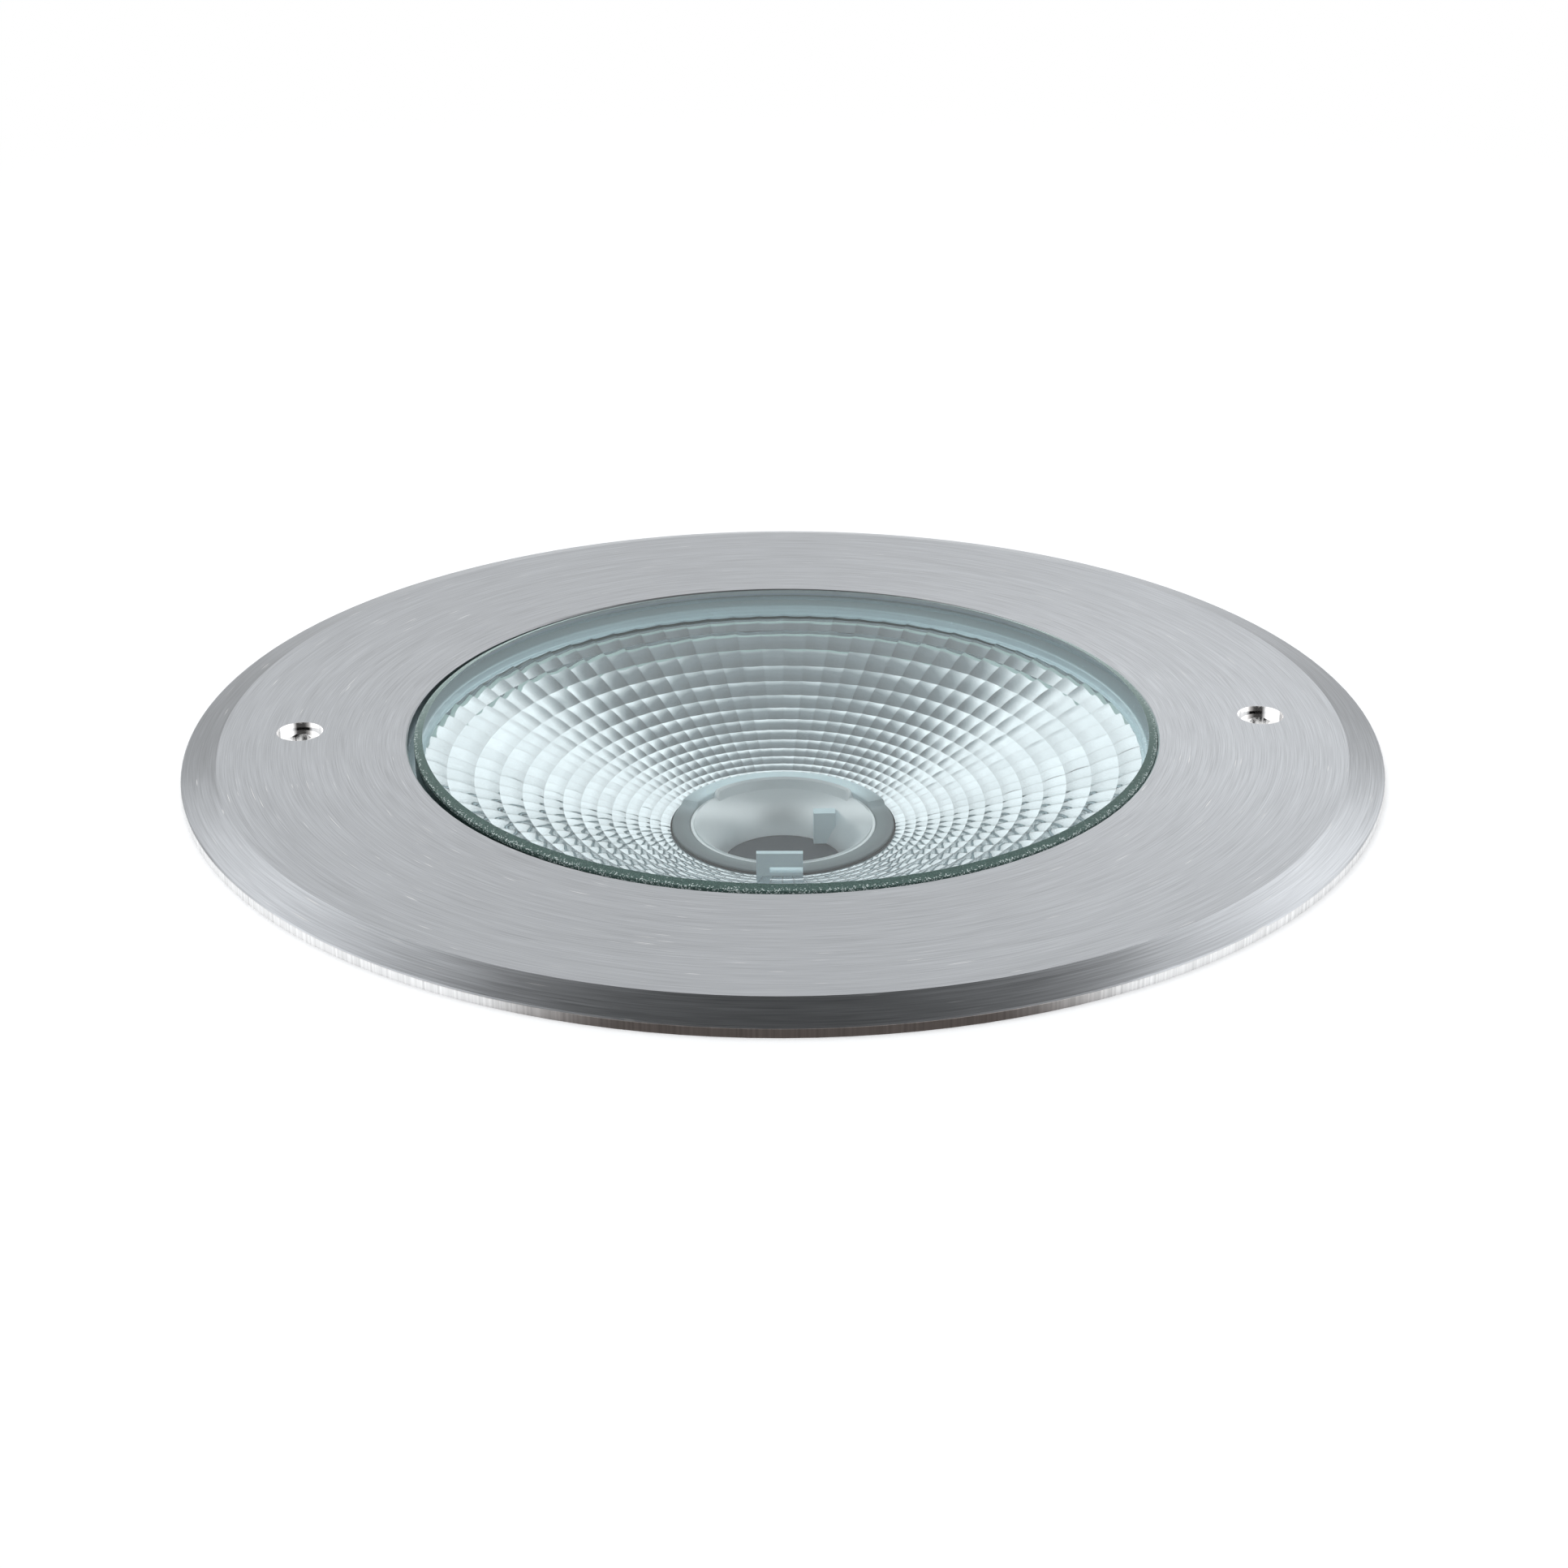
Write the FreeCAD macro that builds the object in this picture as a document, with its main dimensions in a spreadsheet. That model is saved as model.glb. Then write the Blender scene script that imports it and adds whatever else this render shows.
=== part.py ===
"""In-ground well light: a round stainless trim ring with a flush glass over a faceted reflector,
built as a sealed lamp insert that lifts out of a plastic sleeve cast into the ground.

The origin is the centre of the trim ring's underside, level with the finished ground. +Z is up.
All lengths are millimetres and all angles are degrees.
"""
import FreeCAD, Part
import math
import os
from types import SimpleNamespace

import Sketcher

DRIVING_SIZES = (
    # trim ring
    ("ring_radius", 130.0, "outside of the trim ring"),
    ("ring_thickness", 4.3, "trim ring, underside to top"),
    ("ring_bevel_width", 7.6, "sloping outer margin of the ring"),
    ("ring_bevel_drop", 2.2, "fall of the sloping margin"),
    ("ring_edge_break", 0.3, "small flats that blunt the ring's edges"),
    ("opening_radius", 81.85, "opening in the ring, where the glass shows"),
    ("screw_wall_gap", 12.65, "housing's recess wall to each cover screw's axis"),
    ("ring_hole_clearance", 0.75, "ring hole around a cover screw's head"),
    # studs welded under the ring
    ("stud_count", 6, "studs under the ring"),
    ("stud_wall_gap", 5.25, "housing's recess wall to each stud's axis"),
    ("stud_radius", 2.0, "M4 stud"),
    ("stud_length", 14.0, "stud below the ring"),
    ("nut_flats", 7.0, "stud nut across flats"),
    ("nut_height", 3.2, "stud nut"),
    ("washer_radius", 4.4, "stud washer"),
    ("washer_thickness", 0.8, "stud washer"),
    ("thread_clearance", 0.05, "radial room between a thread and its hole"),
    ("bolt_clearance", 0.3, "radial room around a bolt that passes through"),
    # glass and its gaskets
    ("glass_proud", 0.8, "glass above the ring's top, so that water runs off"),
    ("glass_thickness", 12.2, "toughened glass at its middle"),
    ("glass_flange_thickness", 6.1, "lower flange that the ring holds down"),
    ("glass_flange_width", 7.1, "flange beyond the upper step"),
    ("glass_gap", 0.9, "mean gap between glass and ring opening"),
    ("glass_margin_width", 1.8, "ground margin round the glass's top"),
    ("glass_margin_drop", 0.7, "fall of the ground margin"),
    ("glass_play_east", 0.65, "how far the glass has settled along X"),
    ("glass_play_north", -0.15, "how far the glass has settled along Y"),
    ("glass_seat_clearance", 1.2, "housing recess around the glass flange"),
    ("upper_gasket_clearance", 1.4, "upper gasket around the glass step"),
    ("gasket_inset", 0.6, "gasket edges inside the seats they lie on"),
    ("lower_gasket_thickness", 1.5, "gasket under the glass"),
    # die-cast housing
    ("screw_flange_margin", 5.6, "flange beyond each cover screw's axis"),
    ("housing_flange_thickness", 8.0, "flange under the ring"),
    ("reflector_seat_width", 3.1, "ledge in the housing under the reflector's rim"),
    ("housing_wall", 3.5, "side wall and recess wall"),
    ("housing_floor", 4.0, "bottom of the housing"),
    ("recess_floor", 4.0, "metal under the glass seat"),
    ("shoulder_fall", 5.5, "slope from the recess to the side wall"),
    ("reflector_rim_clearance", 0.3, "housing around the reflector's rim"),
    ("fin_count", 24, "cooling fins"),
    ("fin_reach", 12.0, "fin beyond the side wall"),
    ("fin_thickness", 2.4, "cooling fin"),
    ("fin_top_gap", 2.0, "shoulder to the fins' upper end"),
    ("fin_bottom_gap", 4.0, "housing's bottom to the fins' lower end"),
    ("pillar_inset", 6.0, "pillar axis inside the spreader's edge"),
    ("pillar_radius", 5.0, "pillars that carry the heat spreader"),
    ("pillar_thread_depth", 10.0, "tapped depth of a pillar"),
    # cover screws
    ("cover_screw_radius", 2.45, "M5 shank"),
    ("cover_screw_length", 30.0, "shank under the head"),
    ("cover_head_radius", 4.25, "cap head"),
    ("cover_head_height", 5.0, "cap head"),
    ("cover_head_sunk", 1.5, "ring's top to the head's top"),
    ("cover_socket_flats", 4.0, "hexagon socket"),
    ("cover_socket_depth", 2.6, "hexagon socket"),
    ("screw_seal_thickness", 1.0, "seal under the head"),
    ("screw_seal_inset", 0.2, "seal inside the head's edge"),
    ("seat_clearance", 0.5, "counterbore around the head"),
    ("retainer_radius", 4.0, "ring that keeps the screw captive"),
    ("retainer_thickness", 0.8, "ring that keeps the screw captive"),
    ("screw_travel", 11.5, "how far a screw backs out"),
    # sleeve in the ground
    ("sleeve_flange_gap", 2.0, "sleeve around the housing's flange"),
    ("sleeve_wall", 3.0, "side wall and floor"),
    ("sleeve_depth", 130.0, "ground level to the sleeve's bottom"),
    ("sleeve_rim_width", 7.0, "outward rim under the ring"),
    ("sleeve_rim_thickness", 3.0, "outward rim under the ring"),
    ("rim_gasket_thickness", 1.5, "gasket between rim and ring"),
    ("rim_gasket_inset", 1.5, "gasket inside the rim's edges"),
    ("rib_count", 10, "anchor ribs outside the sleeve"),
    ("rib_reach", 5.0, "rib beyond the side wall"),
    ("rib_thickness", 3.0, "anchor rib"),
    ("rib_end_gap", 12.0, "ribs stop short of the rim and of the bottom"),
    ("boss_radius", 8.5, "boss for a cover screw"),
    ("boss_gap", 0.3, "housing flange to boss"),
    ("boss_length", 32.0, "boss for a cover screw"),
    ("boss_hole_clearance", 0.6, "boss hole around the retainer"),
    ("insert_radius", 4.0, "threaded brass insert"),
    ("insert_length", 12.0, "threaded brass insert"),
    ("drain_count", 4, "drain holes in the sleeve's floor"),
    ("drain_radius", 6.0, "drain hole"),
    ("drain_circle_radius", 60.0, "lamp axis to each drain hole"),
    ("entry_height", 35.0, "cable entry above the sleeve's bottom"),
    ("entry_boss_radius", 17.0, "flat pad around a cable entry"),
    ("entry_boss_length", 10.0, "flat pad, through the wall"),
    ("entry_boss_reach", 3.0, "flat pad outside the wall"),
    ("entry_hole_radius", 11.0, "cable entry"),
    ("grommet_flange_radius", 14.0, "grommet and plug flange"),
    ("grommet_flange_thickness", 2.5, "grommet and plug flange"),
    ("supply_cable_radius", 3.8, "bore for the buried supply cable"),
    # reflector
    ("facet_count", 80, "facets in each row"),
    ("row_count", 13, "full rows of facets"),
    ("part_row_width", 5.2, "part row at the rim, outside the full rows"),
    ("neck_radius", 25.1, "hole at the reflector's middle"),
    ("neck_depth", 28.1, "ground level to the reflector's lowest edge"),
    ("bowl_slope", 0.16, "bowl's slope at the axis"),
    ("bowl_rim_gap", 2.33, "outermost facets' rim below the glass"),
    ("facet_rim_inset", 2.05, "outermost facets' rim inside the glass's step"),
    ("reflector_wall", 1.6, "moulded wall"),
    ("rim_ledge_width", 0.4, "ledge between facets and collar"),
    ("collar_thickness", 1.0, "upright collar at the reflector's rim, and its flange"),
    ("collar_clearance", 0.5, "collar below the glass"),
    ("rim_flange_width", 3.7, "outward flange that hangs the reflector on the housing"),
    # optic at the middle
    ("optic_clock", -2.2, "turn of the reflector and its holder on the axis"),
    ("holder_depth", 27.5, "ground level to the holder ring's top"),
    ("holder_clearance", 0.4, "holder ring inside the reflector's neck"),
    ("holder_wall", 2.0, "holder ring's skirt"),
    ("holder_top_thickness", 1.6, "holder ring's flat top"),
    ("holder_notch_width", 3.0, "notches in the holder ring"),
    ("holder_notch_depth", 1.3, "notches in the holder ring"),
    ("holder_notch_bearing", 21.0, "notch bearing from the X axis"),
    ("holder_rise", 0.9, "back of the holder ring above its front"),
    ("holder_rise_span", 136.0, "angle of the raised back"),
    ("lead_slot_width", 8.0, "slot in the skirt for the leads"),
    ("lead_slot_height", 4.5, "slot in the skirt for the leads"),
    ("cup_mouth_radius", 19.8, "mixing cup's mouth, inside"),
    ("cup_floor_radius", 13.3, "mixing cup's floor, inside"),
    ("cup_depth", 9.8, "mouth to lens"),
    ("cup_wall", 0.8, "mixing cup"),
    ("cup_foot_width", 3.0, "flat foot of the mixing cup"),
    ("cup_lip_height", 1.4, "raised lip at the back of the cup"),
    ("cup_lip_span", 86.0, "angle of the raised lip"),
    ("clip_width", 10.0, "latch clip"),
    ("clip_east", -0.65, "latch clip's place along X"),
    ("clip_thickness", 1.4, "latch clip"),
    ("clip_height", 5.2, "latch clip above the holder ring"),
    ("clip_drop", 0.1, "latch clip below the holder ring's top"),
    ("clip_foot_length", 2.2, "clip's foot on the holder ring"),
    ("clip_foot_thickness", 0.4, "clip's foot on the holder ring"),
    ("clip_window_width", 7.1, "window in the clip, open at its right end"),
    ("clip_window_height", 1.3, "window in the clip"),
    ("clip_window_rise", 0.3, "window above the holder ring's top"),
    ("guide_width", 4.9, "wire guide inside the cup"),
    ("guide_thickness", 2.7, "wire guide inside the cup"),
    ("guide_height", 7.5, "wire guide inside the cup"),
    ("guide_east", 9.7, "wire guide's place along X"),
    ("guide_north", 9.95, "wire guide's place along Y"),
    # light source
    ("lens_thickness", 1.0, "frosted lens at the cup's floor"),
    ("lens_clearance", 0.1, "lens inside the cup"),
    ("phosphor_radius", 10.0, "light-emitting surface"),
    ("phosphor_thickness", 0.8, "light-emitting surface"),
    ("phosphor_gap", 0.4, "light-emitting surface below the lens"),
    ("substrate_side", 24.0, "light source's ceramic plate"),
    ("substrate_thickness", 1.5, "light source's ceramic plate"),
    ("frame_radius", 22.0, "frame that holds the plate down"),
    ("frame_window_radius", 10.6, "window in the frame"),
    ("pad_thickness", 0.5, "thermal pad"),
    ("pad_margin", 1.0, "thermal pad inside the plate's edge"),
    ("spreader_side_gap", 7.5, "heat spreader inside the housing's wall"),
    ("spreader_thickness", 6.0, "aluminium heat spreader"),
    ("spreader_screw_radius", 2.0, "M4 screw"),
    ("spreader_screw_length", 14.0, "M4 screw"),
    ("spreader_head_radius", 3.5, "M4 cap head"),
    ("spreader_head_height", 4.0, "M4 cap head"),
    ("lead_radius", 0.9, "insulated lead"),
    ("lead_spacing", 3.0, "between the two leads"),
    ("lead_hole_radius", 4.5, "hole in the spreader for the leads"),
    ("lead_place", -30.0, "hole's place along Y"),
    ("lead_bend_radius", 3.4, "bend of each lead"),
    ("lead_height", 1.6, "leads above the spreader"),
    # driver and terminals
    ("driver_length", 100.0, "electronic driver along X"),
    ("driver_width", 46.0, "electronic driver along Y"),
    ("driver_gap", 4.5, "driver under the heat spreader"),
    ("driver_height", 18.0, "electronic driver"),
    ("driver_corner", 3.0, "rounded upright corners"),
    ("driver_place", -12.0, "driver's middle along Y"),
    ("ear_length", 8.0, "driver's fixing ear"),
    ("ear_width", 12.0, "driver's fixing ear"),
    ("ear_thickness", 2.0, "driver's fixing ear"),
    ("driver_screw_radius", 1.5, "M3 screw"),
    ("driver_screw_depth", 2.6, "M3 screw in the housing's floor"),
    ("driver_head_radius", 2.7, "M3 head"),
    ("driver_head_height", 1.8, "M3 head"),
    ("terminal_pitch", 10.0, "between terminal poles"),
    ("terminal_poles", 3, "terminal poles"),
    ("terminal_width", 16.0, "terminal block along Y"),
    ("terminal_height", 13.0, "terminal block"),
    ("terminal_place", 25.0, "terminal block's middle along Y"),
    ("terminal_entry_radius", 1.8, "wire entry"),
    ("terminal_entry_height", 4.0, "wire entry above the floor"),
    ("terminal_screw_radius", 2.0, "clamping screw"),
    ("terminal_screw_length", 5.0, "clamping screw"),
    # cable gland and vent
    ("gland_place", 52.0, "gland's place along Y"),
    ("gland_thread_radius", 8.0, "M16 thread"),
    ("gland_flats", 19.0, "gland hexagons across flats"),
    ("gland_hex_height", 5.0, "gland body's hexagon"),
    ("gland_gasket_thickness", 1.2, "gasket under the gland"),
    ("gland_bore_radius", 5.0, "gland body's bore"),
    ("gland_barrel_radius", 7.4, "threaded barrel under the hexagon"),
    ("gland_barrel_length", 8.0, "threaded barrel under the hexagon"),
    ("gland_seal_radius", 6.0, "seal, outside"),
    ("gland_cable_radius", 4.0, "seal, bore for the lamp's cable"),
    ("gland_cap_length", 11.0, "gland nut"),
    ("gland_cap_gap", 0.8, "gland nut below the hexagon"),
    ("gland_cap_end", 2.5, "gland nut's end wall"),
    ("locknut_height", 4.0, "lock nut inside the housing"),
    ("vent_east", -60.0, "vent's place along X"),
    ("vent_north", 20.0, "vent's place along Y"),
    ("vent_thread_radius", 6.0, "M12 vent"),
    ("vent_cap_radius", 9.0, "vent cap"),
    ("vent_cap_height", 5.0, "vent cap"),
    ("vent_bore_radius", 2.5, "breathing hole"),
)


class Size:
    """A number together with the formula that gives it from the sheet's cells."""

    def __init__(self, value, formula):
        self.value = value
        self.formula = formula

    @staticmethod
    def of(other):
        return other if isinstance(other, Size) else Size(other, repr(other))

    def joined(self, sign, other, value):
        return Size(value, f"({self.formula} {sign} {other.formula})")

    def __add__(self, other):
        other = Size.of(other)
        return self.joined("+", other, self.value + other.value)

    def __sub__(self, other):
        other = Size.of(other)
        return self.joined("-", other, self.value - other.value)

    def __mul__(self, other):
        other = Size.of(other)
        return self.joined("*", other, self.value * other.value)

    def __truediv__(self, other):
        other = Size.of(other)
        return self.joined("/", other, self.value / other.value)

    def __neg__(self):
        return Size(-self.value, f"(0 - {self.formula})")

    def __radd__(self, other):
        return Size.of(other) + self

    def __rsub__(self, other):
        return Size.of(other) - self

    def __rmul__(self, other):
        return Size.of(other) * self


def cosine(angle):
    angle = Size.of(angle)
    return Size(math.cos(math.radians(angle.value)), f"cos({angle.formula} * 1 deg)")


def sine(angle):
    angle = Size.of(angle)
    return Size(math.sin(math.radians(angle.value)), f"sin({angle.formula} * 1 deg)")


def write_sheet(doc):
    """Puts every driving size into the sheet, one row each, and returns them by name."""
    sheet = doc.addObject("Spreadsheet::Sheet", "sizes")
    found = {}
    for row, (name, value, meaning) in enumerate(DRIVING_SIZES, start=1):
        sheet.set(f"A{row}", name)
        sheet.set(f"B{row}", str(value))
        sheet.set(f"C{row}", meaning)
        sheet.setAlias(f"B{row}", name)
        found[name] = Size(value, f"sizes.{name}")
    doc.recompute()
    return SimpleNamespace(**found)


DOC = FreeCAD.newDocument("well_light")
D = write_sheet(DOC)
NODES = []

# Levels and radii that several pieces share.
RING_TOP = D.ring_thickness
GLASS_TOP = RING_TOP + D.glass_proud
GLASS_BOTTOM = GLASS_TOP - D.glass_thickness
GLASS_FLANGE_TOP = GLASS_BOTTOM + D.glass_flange_thickness
GLASS_STEP_RADIUS = D.opening_radius - D.glass_gap
GLASS_FLANGE_RADIUS = GLASS_STEP_RADIUS + D.glass_flange_width
RECESS_RADIUS = GLASS_FLANGE_RADIUS + D.glass_seat_clearance
GLASS_SEAT = GLASS_BOTTOM - D.lower_gasket_thickness
FACET_RIM_RADIUS = GLASS_STEP_RADIUS - D.facet_rim_inset
FACET_RIM_LEVEL = GLASS_BOTTOM - D.bowl_rim_gap
REFLECTOR_RIM_RADIUS = FACET_RIM_RADIUS + D.rim_ledge_width + D.collar_thickness
RIM_FLANGE_RADIUS = REFLECTOR_RIM_RADIUS + D.rim_flange_width
REFLECTOR_BORE_RADIUS = REFLECTOR_RIM_RADIUS + D.reflector_rim_clearance
HOUSING_WELL_RADIUS = REFLECTOR_BORE_RADIUS - D.reflector_seat_width
HOUSING_SIDE_RADIUS = HOUSING_WELL_RADIUS + D.housing_wall
SPREADER_RADIUS = HOUSING_WELL_RADIUS - D.spreader_side_gap
SHOULDER_RADIUS = RECESS_RADIUS + D.housing_wall
STUD_CIRCLE_RADIUS = SHOULDER_RADIUS + D.stud_wall_gap
SCREW_CIRCLE_RADIUS = SHOULDER_RADIUS + D.screw_wall_gap
HOUSING_FLANGE_RADIUS = SCREW_CIRCLE_RADIUS + D.screw_flange_margin
SHOULDER_BOTTOM = GLASS_SEAT - D.recess_floor
FLANGE_BOTTOM = -D.housing_flange_thickness
COVER_HEAD_TOP = RING_TOP - D.cover_head_sunk
COVER_HEAD_BOTTOM = COVER_HEAD_TOP - D.cover_head_height
COVER_SEAT = COVER_HEAD_BOTTOM - D.screw_seal_thickness
RETAINER_TOP = FLANGE_BOTTOM - D.screw_travel
BOSS_TOP = FLANGE_BOTTOM - D.boss_gap
INSERT_TOP = RETAINER_TOP - D.retainer_thickness - D.boss_hole_clearance
SLEEVE_BOTTOM = -D.sleeve_depth
SLEEVE_FLOOR_TOP = SLEEVE_BOTTOM + D.sleeve_wall
SLEEVE_TOP = -D.rim_gasket_thickness
SLEEVE_INNER_RADIUS = HOUSING_FLANGE_RADIUS + D.sleeve_flange_gap
SLEEVE_RADIUS = SLEEVE_INNER_RADIUS + D.sleeve_wall
SLEEVE_RIM_RADIUS = SLEEVE_RADIUS + D.sleeve_rim_width
HOLDER_TOP = -D.holder_depth
HOLDER_RADIUS = D.neck_radius - D.holder_clearance
CUP_TOP = HOLDER_TOP
LENS_TOP = CUP_TOP - D.cup_depth
LENS_BOTTOM = LENS_TOP - D.lens_thickness
PHOSPHOR_TOP = LENS_BOTTOM - D.phosphor_gap
SUBSTRATE_TOP = PHOSPHOR_TOP - D.phosphor_thickness
PAD_TOP = SUBSTRATE_TOP - D.substrate_thickness
SPREADER_TOP = PAD_TOP - D.pad_thickness
SPREADER_BOTTOM = SPREADER_TOP - D.spreader_thickness
HOUSING_FLOOR_TOP = SPREADER_BOTTOM - D.driver_gap - D.driver_height
HOUSING_BOTTOM = HOUSING_FLOOR_TOP - D.housing_floor
GLAND_FACE = HOUSING_BOTTOM - D.gland_gasket_thickness
GLAND_HEX_BOTTOM = GLAND_FACE - D.gland_hex_height
GLAND_BARREL_BOTTOM = GLAND_HEX_BOTTOM - D.gland_barrel_length
GLAND_CAP_TOP = GLAND_HEX_BOTTOM - D.gland_cap_gap
GLAND_CAP_BOTTOM = GLAND_CAP_TOP - D.gland_cap_length


def bind(thing, **formulas):
    """Sets each named property from a size; a double underscore stands for a dot."""
    for name, size in formulas.items():
        thing.setExpression(name.replace("__", "."), Size.of(size).formula)


def place(thing, east=None, north=None, up=None):
    """Binds a piece's position to sizes."""
    for axis, size in (("x", east), ("y", north), ("z", up)):
        if size is not None:
            thing.setExpression(f"Placement.Base.{axis}", Size.of(size).formula)


def node(thing, label):
    """Marks an object as one sub-part, under the name its file takes."""
    thing.Label = label
    NODES.append(thing)
    return thing


def body_plane(body, role):
    return next(f for f in body.Origin.OriginFeatures if f.Role == role)


def new_sketch(body, role, name, height=None):
    """A sketch on one of the body's own origin planes, raised by height along its normal."""
    sketch = body.newObject("Sketcher::SketchObject", name)
    sketch.AttachmentSupport = [(body_plane(body, role), "")]
    sketch.MapMode = "FlatFace"
    if height is not None:
        sketch.setExpression("AttachmentOffset.Base.z", Size.of(height).formula)
    return sketch


def pin_point(sketch, line, end, across, along):
    """Holds one end of a line at its distances from the sketch's origin."""
    for kind, axis, size in (("DistanceX", -2, across), ("DistanceY", -1, along)):
        size = Size.of(size)
        if size.formula in ("0", "0.0"):
            sketch.addConstraint(Sketcher.Constraint("PointOnObject", line, end, axis))
            continue
        number = sketch.addConstraint(Sketcher.Constraint(kind, -1, 1, line, end, size.value))
        sketch.setExpression(f"Constraints[{number}]", size.formula)


def add_outline(sketch, points):
    """A closed outline of straight lines through points given as pairs of sizes."""
    points = [(Size.of(a), Size.of(b)) for a, b in points]
    first = sketch.GeometryCount
    corners = [FreeCAD.Vector(a.value, b.value, 0) for a, b in points]
    count = len(points)
    for i, corner in enumerate(corners):
        sketch.addGeometry(Part.LineSegment(corner, corners[(i + 1) % count]))
    for i in range(count):
        following = first + (i + 1) % count
        sketch.addConstraint(Sketcher.Constraint("Coincident", first + i, 2, following, 1))
    for i, (across, along) in enumerate(points):
        pin_point(sketch, first + i, 1, across, along)


def add_circle(sketch, across, along, radius):
    across, along, radius = Size.of(across), Size.of(along), Size.of(radius)
    centre = FreeCAD.Vector(across.value, along.value, 0)
    circle = sketch.addGeometry(Part.Circle(centre, FreeCAD.Vector(0, 0, 1), radius.value))
    number = sketch.addConstraint(Sketcher.Constraint("Radius", circle, radius.value))
    sketch.setExpression(f"Constraints[{number}]", radius.formula)
    pin_point(sketch, circle, 3, across, along)


def turned_body(label, outline):
    """A body turned about Z from an outline of (radius, height) pairs."""
    body = node(DOC.addObject("PartDesign::Body", label + "_body"), label)
    sketch = new_sketch(body, "XZ_Plane", label + "_outline")
    add_outline(sketch, outline)
    turn = body.newObject("PartDesign::Revolution", label + "_turn")
    turn.Profile = sketch
    turn.ReferenceAxis = (sketch, ["V_Axis"])
    turn.Angle = 360
    sketch.Visibility = False
    body.Tip = turn
    return body


def volume_now(body):
    DOC.recompute()
    return body.Shape.Volume


def check_change(body, before, grows):
    """Stops if the body's last feature didn't change its volume the right way."""
    change = volume_now(body) - before
    if (change > 0) != grows or abs(change) < 1e-6:
        raise RuntimeError(f"{body.Tip.Name} changed nothing on {body.Label}")


def bored(body, name, circles, top, depth):
    """Round pockets going down from a level; circles are (across, along, radius)."""
    before = volume_now(body)
    sketch = new_sketch(body, "XY_Plane", name + "_circles", top)
    for across, along, radius in circles:
        add_circle(sketch, across, along, radius)
    pocket = body.newObject("PartDesign::Pocket", name)
    pocket.Profile = sketch
    pocket.Type = 0
    pocket.setExpression("Length", Size.of(depth).formula)
    body.Tip = pocket
    check_change(body, before, grows=False)


def raised(body, name, circles, bottom, height):
    """Round pads going up from a level; circles are (across, along, radius)."""
    before = volume_now(body)
    sketch = new_sketch(body, "XY_Plane", name + "_circles", bottom)
    for across, along, radius in circles:
        add_circle(sketch, across, along, radius)
    pad = body.newObject("PartDesign::Pad", name)
    pad.Profile = sketch
    pad.setExpression("Length", Size.of(height).formula)
    body.Tip = pad
    check_change(body, before, grows=True)


def fins(body, name, inner, outer, thickness, bottom, top, count):
    """Upright fins, padded once and repeated round Z."""
    before = volume_now(body)
    sketch = new_sketch(body, "XY_Plane", name + "_outline", bottom)
    half = thickness / 2
    add_outline(sketch, [(inner, -half), (outer, -half), (outer, half), (inner, half)])
    pad = body.newObject("PartDesign::Pad", name)
    pad.Profile = sketch
    pad.setExpression("Length", (top - bottom).formula)
    body.Tip = pad
    check_change(body, before, grows=True)
    before = volume_now(body)
    pattern = body.newObject("PartDesign::PolarPattern", name + "_pattern")
    pattern.Originals = [pad]
    pattern.Axis = (sketch, ["N_Axis"])
    pattern.Angle = 360
    pattern.setExpression("Occurrences", count.formula)
    body.Tip = pattern
    check_change(body, before, grows=True)


def round_bar(name, radius, bottom, height, east=0, north=0):
    bar = DOC.addObject("Part::Cylinder", name)
    bind(bar, Radius=radius, Height=height)
    place(bar, east, north, bottom)
    return bar


def cross_bar(name, radius, start, length, up):
    """A round bar along +Y, starting at y = start."""
    bar = DOC.addObject("Part::Cylinder", name)
    bar.Placement = FreeCAD.Placement(FreeCAD.Vector(), FreeCAD.Rotation(FreeCAD.Vector(1, 0, 0), -90))
    bind(bar, Radius=radius, Height=length)
    place(bar, None, start, up)
    return bar


def sector(name, inner, outer, bottom, height, span):
    """Part of a ring, centred on +Y."""
    blank = DOC.addObject("Part::Cylinder", name + "_blank")
    bind(blank, Radius=outer, Height=height, Angle=span)
    place(blank, 0, 0, bottom)
    blank.setExpression("Placement.Rotation.Angle", (90 - span / 2).formula)
    blank.setExpression("Placement.Rotation.Axis.z", "1")
    return less(name, blank, round_bar(name + "_core", inner, bottom, height))


def hex_bar(name, flats, bottom, height, east=0, north=0):
    bar = DOC.addObject("Part::Prism", name)
    bar.Polygon = 6
    bind(bar, Circumradius=flats / 2 / cosine(30), Height=height)
    place(bar, east, north, bottom)
    return bar


def block(name, length, width, height, east, north, bottom):
    """A block with its middle at (east, north) and its underside at bottom."""
    piece = DOC.addObject("Part::Box", name)
    bind(piece, Length=length, Width=width, Height=height)
    place(piece, Size.of(east) - length / 2, Size.of(north) - width / 2, bottom)
    return piece


def less(name, base, *tools):
    """Base with every tool cut away."""
    for number, tool in enumerate(tools, start=1):
        cut = DOC.addObject("Part::Cut", f"{name}_cut_{number}")
        cut.Base = base
        cut.Tool = tool
        base = cut
    return base


def joined(name, *pieces):
    fuse = DOC.addObject("Part::MultiFuse", name)
    fuse.Shapes = list(pieces)
    fuse.Refine = True
    return fuse


def grouped(label, pieces):
    """Several like solids under one name."""
    group = DOC.addObject("Part::Compound", label + "_group")
    group.Links = list(pieces)
    return node(group, label)


def clocked(thing):
    """Turns a piece of the optic about the lamp's axis by the clock angle."""
    thing.setExpression("Placement.Rotation.Angle", D.optic_clock.formula)
    thing.setExpression("Placement.Rotation.Axis.z", "1")
    return thing


def ring_places(count, radius, start=0.0):
    """Evenly spaced places round the axis, as (east, north) sizes."""
    step = 360.0 / count
    return [(radius * cosine(start + i * step), radius * sine(start + i * step)) for i in range(count)]


def stud_places():
    count = int(D.stud_count.value)
    return ring_places(count, STUD_CIRCLE_RADIUS, 180.0 / count)


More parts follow.
